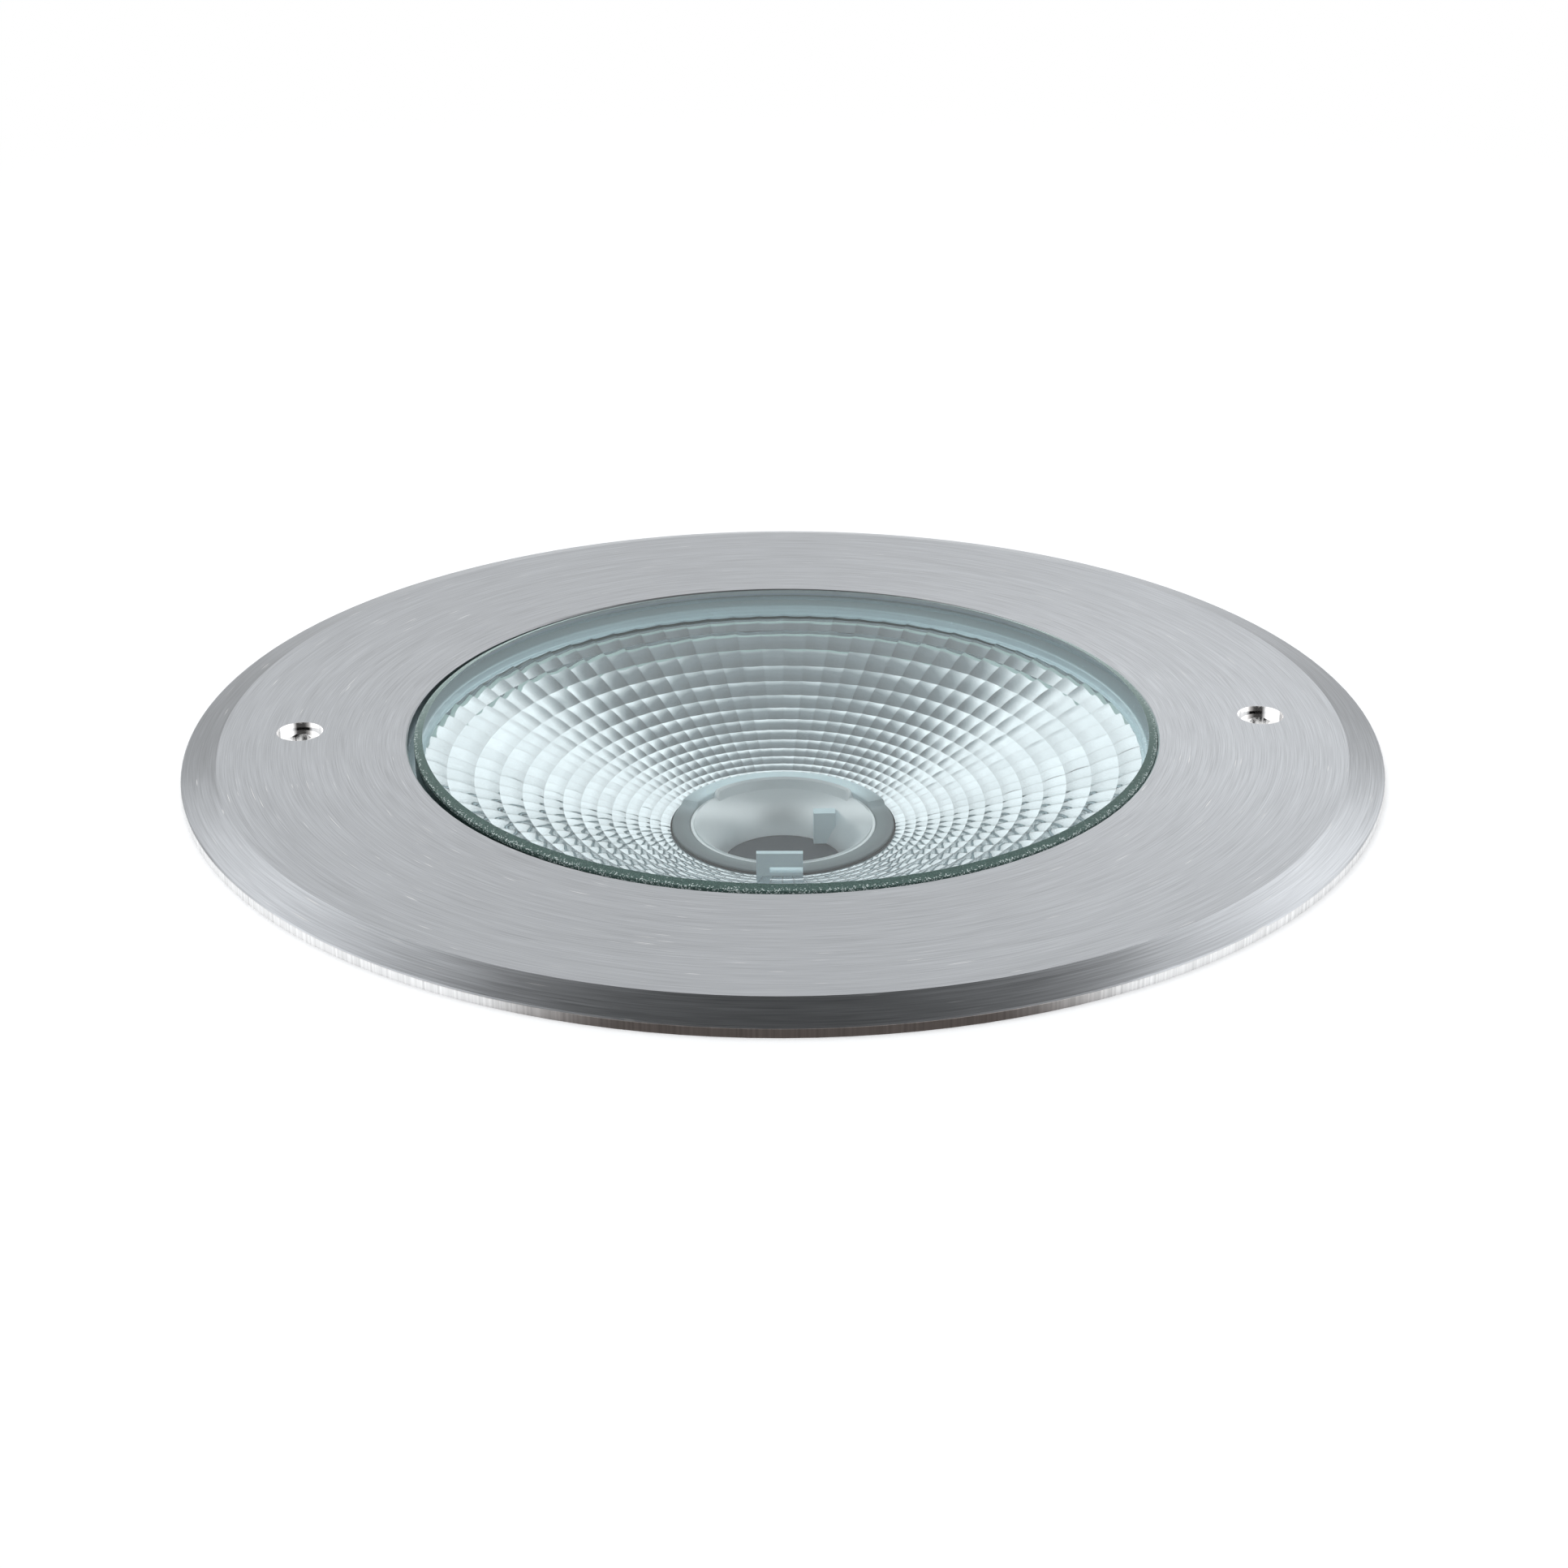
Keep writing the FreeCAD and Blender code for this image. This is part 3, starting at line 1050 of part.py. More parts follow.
def entry_fittings():
    """A grommet in the back entry and a blank plug in the front one."""
    level = SLEEVE_BOTTOM + D.entry_height
    face, flange = entry_face(), D.grommet_flange_thickness
    inside = face - D.entry_boss_length
    length = D.entry_boss_length + flange
    stem = cross_bar("grommet_stem", D.entry_hole_radius, inside, D.entry_boss_length, level)
    head = cross_bar("grommet_head", D.grommet_flange_radius, face, flange, level)
    bore = cross_bar("grommet_bore", D.supply_cable_radius, inside, length, level)
    node(less("grommet", joined("grommet_blank", stem, head), bore), "inlet_grommet")
    stem = cross_bar("plug_stem", D.entry_hole_radius, -face, D.entry_boss_length, level)
    head = cross_bar("plug_head", D.grommet_flange_radius, -face - flange, flange, level)
    hollow = cross_bar("plug_hollow", D.entry_hole_radius - D.sleeve_wall,
                       D.sleeve_wall - face, D.entry_boss_length - D.sleeve_wall, level)
    node(less("plug", joined("plug_blank", stem, head), hollow), "blank_plug")


def check_document():
    """Stops on any failed object, and on any sub-part that isn't a whole valid solid."""
    DOC.recompute()
    failed = [o.Name for o in DOC.Objects if "Invalid" in o.State or "Error" in o.State]
    if failed:
        raise RuntimeError(f"failed objects: {failed}")
    for piece in NODES:
        shape = piece.Shape
        if shape.isNull() or not shape.isValid() or not shape.Solids:
            raise RuntimeError(f"{piece.Label} is not a valid solid")


def write_parts():
    os.makedirs("parts", exist_ok=True)
    for piece in NODES:
        piece.Shape.exportStep(f"parts/{piece.Label}.step")
        box = piece.Shape.BoundBox
        print(f"{piece.Label}: {len(piece.Shape.Solids)} solid(s), {piece.Shape.Volume / 1000:.2f} cm3, "
              f"z {box.ZMin:.1f} to {box.ZMax:.1f}")
    print(f"{len(NODES)} sub-parts")


def main():
    mounting_sleeve()
    sleeve_fittings()
    entry_fittings()
    lamp_housing()
    trim_ring()
    ring_fixings()
    cover_glass()
    glass_gaskets()
    reflector()
    holder_ring()
    mixing_cup()
    latch_clip()
    wire_guide()
    light_source()
    heat_spreader()
    led_leads()
    driver()
    terminals()
    cable_gland()
    vent_plug()
    cover_screws()
    check_document()
    write_parts()


main()
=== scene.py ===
"""In-ground well light: the looks of its pieces and a plain photo stage.

Laid out as a Blender add-on, but run as a script. Settings are in metres and outlines in millimetres, in
the CAD model's frame: the origin is the centre of the trim ring's underside, at ground level, with +Z up.
"""

import math

import bpy
from mathutils import Euler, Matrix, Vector


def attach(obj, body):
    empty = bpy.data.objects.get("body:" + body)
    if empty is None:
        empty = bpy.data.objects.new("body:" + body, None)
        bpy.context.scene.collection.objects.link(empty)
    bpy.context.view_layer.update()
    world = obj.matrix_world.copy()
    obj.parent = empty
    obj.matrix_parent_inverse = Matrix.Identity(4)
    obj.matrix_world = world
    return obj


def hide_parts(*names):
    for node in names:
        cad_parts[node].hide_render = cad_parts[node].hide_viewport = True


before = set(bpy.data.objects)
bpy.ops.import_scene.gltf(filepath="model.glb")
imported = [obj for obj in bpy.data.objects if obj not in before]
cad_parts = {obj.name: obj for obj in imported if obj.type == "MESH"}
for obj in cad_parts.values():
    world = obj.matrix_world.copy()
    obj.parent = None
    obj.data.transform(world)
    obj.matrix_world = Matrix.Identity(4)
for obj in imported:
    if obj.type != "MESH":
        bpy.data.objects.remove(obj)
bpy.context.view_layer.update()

bl_info = {
    "name": "In-ground well light",
    "version": (1, 0, 0),
    "blender": (4, 5, 0),
    "location": "3D View > Sidebar > Well Light",
    "description": "Finishes the pieces of an in-ground well light and sets a photo stage",
    "category": "Object",
}

MM = 0.001
INSERT = "lamp_insert"
# The bowl and the optic are turned a little clockwise, and the glass lies a little off centre.
OPTIC_CLOCK = math.radians(-2.2)
GLASS_CENTRE = Vector((0.65, -0.15, 0.0)) * MM
GLASS_IOR = 1.52
COATING_SHARE = 0.6
TURNED_SEGMENTS = 240
FLARE_STEPS = 16
SHARP_ANGLE = math.radians(32.0)
MERGE_DISTANCE = 1e-6
# Nearly all of a noise texture lies between these values.
NOISE_LOW, NOISE_HIGH = 0.3, 0.7
BLACK, WHITE = (0.0, 0.0, 0.0), (1.0, 1.0, 1.0)
SOIL_DUST = (0.30, 0.26, 0.21)


# ---------------------------------------------------------------- settings

def length(name, description, default, low=0.0, high=1.0):
    """A setting for a length in metres."""
    return bpy.props.FloatProperty(name=name, description=description, default=default,
                                   min=low, max=high, precision=5, unit="LENGTH")


def bearing(name, description, degrees):
    """A setting for an angle."""
    return bpy.props.FloatProperty(name=name, description=description, default=math.radians(degrees),
                                   min=0.0, max=2 * math.pi, subtype="ANGLE")


def share(name, description, default, high=1.0):
    """A setting for a part of a whole."""
    return bpy.props.FloatProperty(name=name, description=description, default=default,
                                   min=0.0, max=high, subtype="FACTOR")


def colour(name, description, default):
    """A setting for a colour."""
    return bpy.props.FloatVectorProperty(name=name, description=description, default=default,
                                         min=0.0, max=1.0, size=3, subtype="COLOR")


class RingSizes(bpy.types.PropertyGroup):
    """Where the trim ring's finish changes."""
    screw_circle: length("Screw circle", "Middle of the ring to the middle of a cover screw", 105.4 * MM)
    screw_hole: length("Screw hole", "Radius that just takes in the wall of a screw hole", 5.02 * MM)
    slope_start: length("Slope start", "Radius beyond which the rim slopes", 122.35 * MM)
    side_start: length("Side start", "Radius beyond which the rim's side is upright", 129.9 * MM)


class GlassSizes(bpy.types.PropertyGroup):
    """The cover glass and its ground edge."""
    radius: length("Radius", "Outer radius of the glass", 80.95 * MM)
    top: length("Top", "Ground level to the top of the glass", 5.1 * MM)
    chamfer_width: length("Chamfer width", "Width of the ground chamfer", 1.8 * MM)
    chamfer_depth: length("Chamfer depth", "Depth of the ground chamfer", 0.7 * MM)
    side_depth: length("Side depth", "Ground level to the lower edge of the side's finish", 0.95 * MM)


class ReflectorSizes(bpy.types.PropertyGroup):
    """The rule that the faceted bowl follows."""
    facets: bpy.props.IntProperty(name="Facets", description="Facets in each row", default=80, min=3)
    rows: bpy.props.IntProperty(name="Rows", description="Rows of facets", default=14, min=1)
    steps: bpy.props.IntProperty(name="Steps", description="Faces along each side of a facet",
                                 default=5, min=2)
    neck_radius: length("Neck radius", "Hole at the bowl's middle", 25.1 * MM)
    neck_depth: length("Neck depth", "Ground level to the bowl's lowest edge", 28.1 * MM)
    rim_radius: length("Rim radius", "Outer edge of the last row", 78.9 * MM)
    row_ratio: share("Row ratio", "Inner edge of a row as a share of its outer edge", 0.9205)
    slope: share("Slope", "Slope of the bowl at its axis", 0.16)
    curve: bpy.props.FloatProperty(name="Curve", description="Rise per square metre", default=1.7983)
    crown: share("Crown", "Height of a facet's crown as a share of its depth", 0.052)
    side_crown: bpy.props.FloatProperty(
        name="Side crown", description="Crown across a facet as a share of its width", default=-0.022)
    wall: length("Wall", "Thickness of the bowl", 1.2 * MM)


class OpticSizes(bpy.types.PropertyGroup):
    """The holder ring and the mixing cup at the bowl's middle."""
    top_depth: length("Top depth", "Ground level to the top of the ring and the cup", 27.5 * MM)
    ring_radius: length("Ring radius", "Outer radius of the holder ring", 24.7 * MM)
    ring_hole: length("Ring hole", "Inner radius of the holder ring", 20.7 * MM)
    ring_height: length("Ring height", "Height of the ring's broad top", 0.9 * MM)
    skirt_hole: length("Skirt hole", "Inner radius of the skirt under the ring", 22.7 * MM)
    skirt_depth: length("Skirt depth", "Ground level to the foot of the skirt", 41.5 * MM)
    back_rise: length("Back rise", "How far the back of the ring stands up", 0.9 * MM)
    back_span: bearing("Back span", "Angle that the ring's raised back takes up", 136.0)
    back_ramp: bearing("Back ramp", "Angle in which the back rises at each end", 2.5)
    cup_mouth: length("Cup mouth", "Inner radius of the cup at its top", 19.8 * MM)
    cup_floor: length("Cup floor", "Inner radius of the cup at its foot", 13.3 * MM)
    cup_depth: length("Cup depth", "Ground level to the foot of the cup", 37.3 * MM)
    cup_wall: length("Cup wall", "Thickness of the cup's wall", 0.8 * MM)
    lip_rise: length("Lip rise", "How far the cup's lip stands up at the back", 1.7 * MM)
    lip_span: bearing("Lip span", "Angle that the lip takes up", 98.0)
    lip_ramp: bearing("Lip ramp", "Angle in which the lip rises at each end", 1.6)


class FinishColours(bpy.types.PropertyGroup):
    """Colours of the pieces that show most."""
    steel: colour("Steel", "Brushed trim ring", (0.505, 0.525, 0.55))
    polished: colour("Polished steel", "Cover screws", (0.97, 0.97, 0.97))
    mirror: colour("Facets", "Metallised facets", (0.87, 0.915, 0.94))
    glass: colour("Glass", "Tint of the clear glass", (0.950, 0.978, 0.982))
    # Lit and shaded copies of the margin's colour: painted light and shade.
    margin_back_lit: colour("Margin, far side", "Ground glass margin at the back", (0.50, 0.63, 0.60))
    margin_front_shaded: colour("Margin, near side", "Ground glass margin at the front", (0.075, 0.13, 0.115))
    # The glass's side: painted shade in the gap, and pale with a painted glow seen from inside.
    edge: colour("Glass edge", "Ground side of the glass", (0.06, 0.11, 0.10))
    edge_inside: colour("Glass edge from inside", "Side of the glass, seen through the glass",
                        (0.66, 0.80, 0.88))
    edge_top: colour("Glass edge, upper part", "Upper part of the side, seen through the glass",
                     (0.78, 0.90, 0.92))
    # A painted glow on the bowl's rim and the lower gasket.
    scattered: colour("Scattered light", "Light that the glass's ground edge throws on the rim under it",
                      (0.12, 0.148, 0.155))
    frosted: colour("Frosted plastic", "Holder ring, clip and wire guide", (0.37, 0.42, 0.435))
    cup: colour("Cup", "Satin mixing cup", (0.95, 0.97, 0.98))
    lens: colour("Lens", "Frosted lens over the light source", (0.080, 0.088, 0.098))
    sleeve: colour("Sleeve", "Plastic sleeve in the ground", (0.022, 0.022, 0.023))
    housing: colour("Housing", "Powder-coated die casting", (0.035, 0.035, 0.038))


class StageSettings(bpy.types.PropertyGroup):
    """Camera, light and floor."""
    camera_place: bpy.props.FloatVectorProperty(
        name="Camera place", description="Camera position", default=(-0.0195, -0.5703, 0.2549),
        size=3, unit="LENGTH", precision=4)
    camera_turn: bpy.props.FloatVectorProperty(
        name="Camera turn", description="Camera rotation", size=3, subtype="EULER",
        default=(math.radians(65.066), math.radians(0.169), math.radians(-2.062)))
    lens: bpy.props.FloatProperty(name="Lens", description="Focal length in millimetres on a 36 mm frame",
                                  default=65.22, min=1.0)
    floor_hole: length("Floor hole", "Radius of the hole in the ground", 124.0 * MM)
    floor_reach: length("Floor reach", "Radius of the ground", 6.0, high=20.0)
    lamp_place: bpy.props.FloatVectorProperty(
        name="Lamp place", description="Position of the overhead lamp", default=(-0.25, 0.35, 1.5),
        size=3, unit="LENGTH")
    lamp_size: length("Lamp size", "Diameter of the overhead lamp", 1.4, high=5.0)
    lamp_power: bpy.props.FloatProperty(name="Lamp power", description="Power of the overhead lamp",
                                        default=9.0, min=0.0, unit="POWER")


# ---------------------------------------------------------------- node helpers

def feed(tree, node, inputs):
    """Sets inputs, by name or number, each to a value or to another node's output."""
    for key, value in inputs.items():
        if isinstance(value, bpy.types.NodeSocket):
            tree.links.new(value, node.inputs[key])
        else:
            node.inputs[key].default_value = value


def add_node(tree, kind, inputs=None, **settings):
    """Adds a node, makes its settings and feeds its inputs."""
    made = tree.nodes.new(kind)
    for name, value in settings.items():
        setattr(made, name, value)
    feed(tree, made, inputs or {})
    return made


def calc(tree, operation, *values, clamp=False):
    """A Math node's output."""
    node = add_node(tree, "ShaderNodeMath", dict(enumerate(values)), operation=operation)
    node.use_clamp = clamp
    return node.outputs[0]


def plus(tree, first, second):
    """The sum of two values."""
    return calc(tree, "ADD", first, second)


def minus(tree, first, second):
    """The first value less the second."""
    return calc(tree, "SUBTRACT", first, second)


def times(tree, *values):
    """The product of two values or more."""
    product = values[0]
    for value in values[1:]:
        product = calc(tree, "MULTIPLY", product, value)
    return product


def hypotenuse(tree, first, second):
    """The long side over two short ones."""
    return calc(tree, "SQRT", plus(tree, times(tree, first, first), times(tree, second, second)))


def separate(tree, vector):
    """The three parts of a vector."""
    return add_node(tree, "ShaderNodeSeparateXYZ", {0: vector}).outputs


def combine(tree, *parts):
    """A vector from its parts."""
    return add_node(tree, "ShaderNodeCombineXYZ", dict(enumerate(parts))).outputs[0]


def polar(tree, vector):
    """Radius from the Z axis, cosine and sine of the bearing, and the height."""
    x, y, z = separate(tree, vector)
    radius = hypotenuse(tree, x, y)
    safe = calc(tree, "MAXIMUM", radius, 1e-5)
    return radius, calc(tree, "DIVIDE", x, safe), calc(tree, "DIVIDE", y, safe), z


def noise(tree, vector, scale, detail, roughness=0.5):
    """Soft noise, about as many waves to the metre as its scale."""
    return add_node(tree, "ShaderNodeTexNoise", {
        "Vector": vector, "Scale": scale, "Detail": detail, "Roughness": roughness}).outputs[0]


def map_range(tree, value, from_low, from_high, low=0.0, high=1.0, smooth=False):
    """Carries a value from one range to another and holds it at the ends, eased where smooth."""
    return add_node(tree, "ShaderNodeMapRange", {
        "Value": value, "From Min": from_low, "From Max": from_high, "To Min": low, "To Max": high},
        interpolation_type="SMOOTHSTEP" if smooth else "LINEAR").outputs[0]


def remap(tree, factor, low, high):
    """Spreads a noise from low to high."""
    return map_range(tree, factor, NOISE_LOW, NOISE_HIGH, low, high)


def opaque(rgb):
    """A colour with full alpha."""
    return (*rgb, 1.0)


def mix_colour(tree, factor, first, second):
    """Runs from the first colour to the second as the factor goes from 0 to 1."""
    ends = [end if isinstance(end, bpy.types.NodeSocket) else opaque(end) for end in (first, second)]
    return add_node(tree, "ShaderNodeMix", {"Factor": factor, 6: ends[0], 7: ends[1]},
                    data_type="RGBA").outputs[2]


def scaled(tree, rgb, factor):
    """A colour times a factor."""
    node = add_node(tree, "ShaderNodeVectorMath", {0: rgb, "Scale": factor}, operation="SCALE")
    return node.outputs[0]


def shade_range(tree, factor, rgb, darker, lighter):
    """Spreads a noise from darker to lighter times a colour."""
    ends = [[min(1.0, part * level) for part in rgb] for level in (darker, lighter)]
    return mix_colour(tree, remap(tree, factor, 0.0, 1.0), *ends)


def ramp_node(tree, factor, stops):
    """A colour ramp from (place, level) pairs; a level is a grey or a colour."""
    node = add_node(tree, "ShaderNodeValToRGB", {0: factor})
    elements = node.color_ramp.elements
    while len(elements) < len(stops):
        elements.new(0.5)
    for element, (place, level) in zip(elements, stops, strict=True):
        element.position = place
        element.color = opaque([level] * 3 if isinstance(level, (int, float)) else level)
    return node.outputs[0]


def bump(tree, height, strength, relief):
    """A normal from a height; relief in millimetres."""
    return add_node(tree, "ShaderNodeBump", {
        "Strength": strength, "Distance": relief * MM, "Height": height}).outputs[0]


def any_ray(tree, *kinds):
    """1 on rays of the kinds named and 0 on others."""
    path = tree.nodes.new("ShaderNodeLightPath")
    found = path.outputs[f"Is {kinds[0]} Ray"]
    for kind in kinds[1:]:
        found = calc(tree, "MAXIMUM", found, path.outputs[f"Is {kind} Ray"])
    return found


def glow(tree, rgb, strength=1.0):
    """A shader that gives light."""
    return add_node(tree, "ShaderNodeEmission", {0: opaque(rgb), 1: strength}).outputs[0]


def see_through(tree, rgb=WHITE):
    """A shader that lets light straight through."""
    return add_node(tree, "ShaderNodeBsdfTransparent", {0: opaque(rgb)}).outputs[0]


def mix_shaders(tree, factor, first, second):
    """Runs from the first shader to the second as the factor goes from 0 to 1."""
    return add_node(tree, "ShaderNodeMixShader", {0: factor, 1: first, 2: second}).outputs[0]


def show(tree, surface):
    """Puts a shader on the material's output."""
    output = next(node for node in tree.nodes if node.type == "OUTPUT_MATERIAL")
    tree.links.new(surface, output.inputs[0])


def object_coordinates(tree):
    """The tree's one set of object coordinates."""
    node = tree.nodes.get("place") or tree.nodes.new("ShaderNodeTexCoord")
    node.name = "place"
    return node.outputs["Object"]


def from_glass_centre(tree):
    """Object coordinates measured from the middle of the glass."""
    return add_node(tree, "ShaderNodeVectorMath", {0: object_coordinates(tree), 1: GLASS_CENTRE},
                    operation="SUBTRACT").outputs[0]


# ---------------------------------------------------------------- shared effects

def group_sockets(group, inputs, outputs):
    """Named sockets on a node group; a default of None leaves a vector, colour or material unset."""
    for name, kind, default in inputs:
        socket = group.interface.new_socket(name, in_out="INPUT", socket_type=kind)
        if default is not None:
            socket.default_value = default
    for name, kind in outputs:
        group.interface.new_socket(name, in_out="OUTPUT", socket_type=kind)
    return group.nodes.new("NodeGroupInput"), group.nodes.new("NodeGroupOutput")


def turned_marks_group():
    """Fine circular marks round the Z axis, as brushing or turning leaves them."""
    group = bpy.data.node_groups.new("turned_marks", "ShaderNodeTree")
    start, end = group_sockets(group, [
        ("Vector", "NodeSocketVector", None), ("Lines per mm", "NodeSocketFloat", 5.0),
        ("Arc share", "NodeSocketFloat", 9.0), ("Scratches", "NodeSocketFloat", 0.7),
    ], [("Height", "NodeSocketFloat"), ("Tone", "NodeSocketFloat"), ("Scratch", "NodeSocketFloat")])
    radius, cosine, sine, height = polar(group, start.outputs["Vector"])
    across = times(group, plus(group, radius, height), 1 / MM)
    fine = times(group, across, start.outputs["Lines per mm"])
    around = [times(group, part, start.outputs["Arc share"]) for part in (cosine, sine)]

    def streaks(reach, stretch, detail):
        """Noise that changes fast across the marks and slowly along them."""
        slow = [times(group, part, stretch) for part in around]
        where = combine(group, times(group, fine, reach), *slow)
        return noise(group, where, 1.0, detail, roughness=0.6)

    close = streaks(1.0, 1.0, 2.0)
    wide = streaks(0.13, 0.5, 1.0)
    long_lines = streaks(0.9, 2.0, 0.0)
    tone = plus(group, times(group, close, 0.8), times(group, wide, 0.2))
    above = minus(group, long_lines, start.outputs["Scratches"])
    scratch = calc(group, "MULTIPLY", above, 12.0, clamp=True)
    feed(group, end, {"Height": close, "Tone": tone, "Scratch": scratch})
    return group


def grain_group():
    """Even small-scale variation, for castings, mouldings, powder coat and rubber."""
    group = bpy.data.node_groups.new("fine_grain", "ShaderNodeTree")
    start, end = group_sockets(group, [
        ("Vector", "NodeSocketVector", None), ("Grain mm", "NodeSocketFloat", 0.5),
        ("Cloud mm", "NodeSocketFloat", 30.0),
    ], [("Height", "NodeSocketFloat"), ("Tone", "NodeSocketFloat")])

    def spots(size, detail):
        """Noise with spots of a size in millimetres."""
        return noise(group, start.outputs["Vector"], calc(group, "DIVIDE", 1 / MM, size), detail)

    grain = spots(start.outputs["Grain mm"], 2.0)
    cloud = spots(start.outputs["Cloud mm"], 3.0)
    tone = plus(group, times(group, grain, 0.5), times(group, cloud, 0.5))
    feed(group, end, {"Height": grain, "Tone": tone})
    return group


def dust_group():
    """Pale soil dust in patches."""
    group = bpy.data.node_groups.new("settled_dust", "ShaderNodeTree")
    start, end = group_sockets(group, [
        ("Vector", "NodeSocketVector", None), ("Colour", "NodeSocketColor", None),
        ("Amount", "NodeSocketFloat", 0.2),
    ], [("Colour", "NodeSocketColor")])
    patches = noise(group, start.outputs["Vector"], 45.0, 6.0, roughness=0.65)
    mask = calc(group, "MULTIPLY", minus(group, patches, 0.42), 5.0, clamp=True)
    mask = times(group, mask, start.outputs["Amount"])
    feed(group, end, {"Colour": mix_colour(group, mask, start.outputs["Colour"], SOIL_DUST)})
    return group


GROUP_MAKERS = {"turned_marks": turned_marks_group, "fine_grain": grain_group, "settled_dust": dust_group}


def place_group(tree, name, **inputs):
    """A node that uses a shared group, which is made when it is first asked for."""
    node = tree.nodes.new("ShaderNodeGroup")
    node.node_tree = bpy.data.node_groups.get(name) or GROUP_MAKERS[name]()
    feed(tree, node, {"Vector": object_coordinates(tree)})
    feed(tree, node, {key.replace("_", " "): value for key, value in inputs.items()})
    return node


# ---------------------------------------------------------------- materials

def new_material(name):
    """A material with a Principled shader on its output, and that tree and shader."""
    material = bpy.data.materials.new(name)
    material.use_nodes = True
    tree = material.node_tree
    tree.nodes.clear()
    shader = tree.nodes.new("ShaderNodeBsdfPrincipled")
    tree.nodes.new("ShaderNodeOutputMaterial")
    show(tree, shader.outputs[0])
    return material, tree, shader


def follow_marks(tree, shader, marks, rough, strength, relief):
    """Lets the roughness and the relief follow a shared group's marks; relief in millimetres."""
    feed(tree, shader, {"Roughness": remap(tree, marks.outputs["Tone"], *rough),
                        "Normal": bump(tree, marks.outputs["Height"], strength, relief)})


def moulded(name, rgb, rough=(0.42, 0.55), grain=0.45, cloud=25.0, relief=0.02, dust=0.0, metallic=0.0,
            spread=(0.86, 1.14), **fixed):
    """Any plain moulded, cast, coated or rubbery finish."""
    material, tree, shader = new_material(name)
    marks = place_group(tree, "fine_grain", Grain_mm=grain, Cloud_mm=cloud)
    tone = shade_range(tree, marks.outputs["Tone"], rgb, *spread)
    if dust:
        tone = place_group(tree, "settled_dust", Colour=tone, Amount=dust).outputs[0]
    follow_marks(tree, shader, marks, rough, 0.5, relief)
    feed(tree, shader, {"Base Color": tone, "Metallic": metallic})
    feed(tree, shader, {key.replace("_", " "): value for key, value in fixed.items()})
    return material


def machined(name, rgb, rough=(0.24, 0.36), lines=3.0, relief=0.004):
    """Turned or brushed metal with marks round the lamp's axis."""
    material, tree, shader = new_material(name)
    marks = place_group(tree, "turned_marks", Lines_per_mm=lines)
    follow_marks(tree, shader, marks, rough, 0.6, relief)
    feed(tree, shader, {"Base Color": shade_range(tree, marks.outputs["Tone"], rgb, 0.88, 1.10),
                        "Metallic": 1.0})
    return material


def brushed_ring_material(rgb, sizes):
    """The trim ring: circular brushing, a few bright scratches, polished walls in the screw holes, and
    painted light, shade, reflections and glints.
    """
    material, tree, shader = new_material("brushed_trim_ring")
    place = object_coordinates(tree)
    marks = place_group(tree, "turned_marks", Lines_per_mm=5.0, Arc_share=7.0, Scratches=0.80)
    x, y, _ = separate(tree, place)
    from_hole = minus(tree, calc(tree, "ABSOLUTE", x), sizes.screw_circle)
    reach = hypotenuse(tree, from_hole, y)
    in_hole = calc(tree, "LESS_THAN", reach, sizes.screw_hole)
    radius, cosine, sine, _ = polar(tree, place)
    on_slope = calc(tree, "GREATER_THAN", radius, sizes.slope_start)
    on_side = calc(tree, "GREATER_THAN", radius, sizes.side_start)

    # Painted light and shade: the whole top is brighter towards the right and a little darker at the front.
    near = calc(tree, "MINIMUM", sine, 0.0)
    painted_top_light = minus(tree, plus(tree, times(tree, cosine, cosine, 0.12), times(tree, cosine, 0.10)),
                 times(tree, near, near, 0.10))
    # Painted reflection: from front to back, the slope is dark, soon bright, dull at the sides and paler at
    # the back.
    to_back = times(tree, plus(tree, sine, 1.0), 0.5)
    painted_slope_light = times(tree, ramp_node(tree, to_back, [
        (0.0, 0.44), (0.02, 0.56), (0.075, 1.0), (0.2, 1.0), (0.42, 0.56), (0.5, 0.52), (1.0, 0.72)]), 1.38)
    level = map_range(tree, on_slope, 0.0, 1.0, 1.0, painted_slope_light)
    level = times(tree, level, plus(tree, 1.0, painted_top_light))
    tone = scaled(tree, shade_range(tree, marks.outputs["Tone"], rgb, 0.76, 1.18), level)
    # The upright side has upright marks; painted reflection makes it near white, and warmer and darker at
    # the very front.
    at_front = map_range(tree, sine, -0.88, -0.985, smooth=True)
    upright = noise(tree, combine(tree, times(tree, cosine, 200.0), times(tree, sine, 200.0)), 1.0, 1.0)
    side = scaled(tree, mix_colour(tree, at_front, (0.97, 0.97, 0.97), (0.80, 0.75, 0.73)),
                  remap(tree, upright, 0.78, 1.03))
    tone = mix_colour(tree, on_side, tone, side)
    tone = mix_colour(tree, marks.outputs["Scratch"], tone, (0.86, 0.86, 0.86))
    tone = mix_colour(tree, in_hole, tone, (0.72, 0.70, 0.69))
    # A painted glint: the far wall of each hole glows faintly, as if it caught light from the screw's
    # polished head.
    facing = calc(tree, "DIVIDE", y, reach)
    lit_wall = times(tree, map_range(tree, facing, 0.15, 0.45), map_range(tree, facing, 0.965, 0.90))
    painted_hole_glint = scaled(tree, (0.72, 0.73, 0.74), times(tree, in_hole, lit_wall))
    rough = minus(tree, remap(tree, marks.outputs["Tone"], 0.285, 0.375), times(tree, in_hole, 0.2))
    feed(tree, shader, {
        "Base Color": tone, "Roughness": rough, "Normal": bump(tree, marks.outputs["Height"], 0.55, 0.006),
        "Metallic": 1.0, "Emission Color": painted_hole_glint, "Emission Strength": 1.0})
    return material


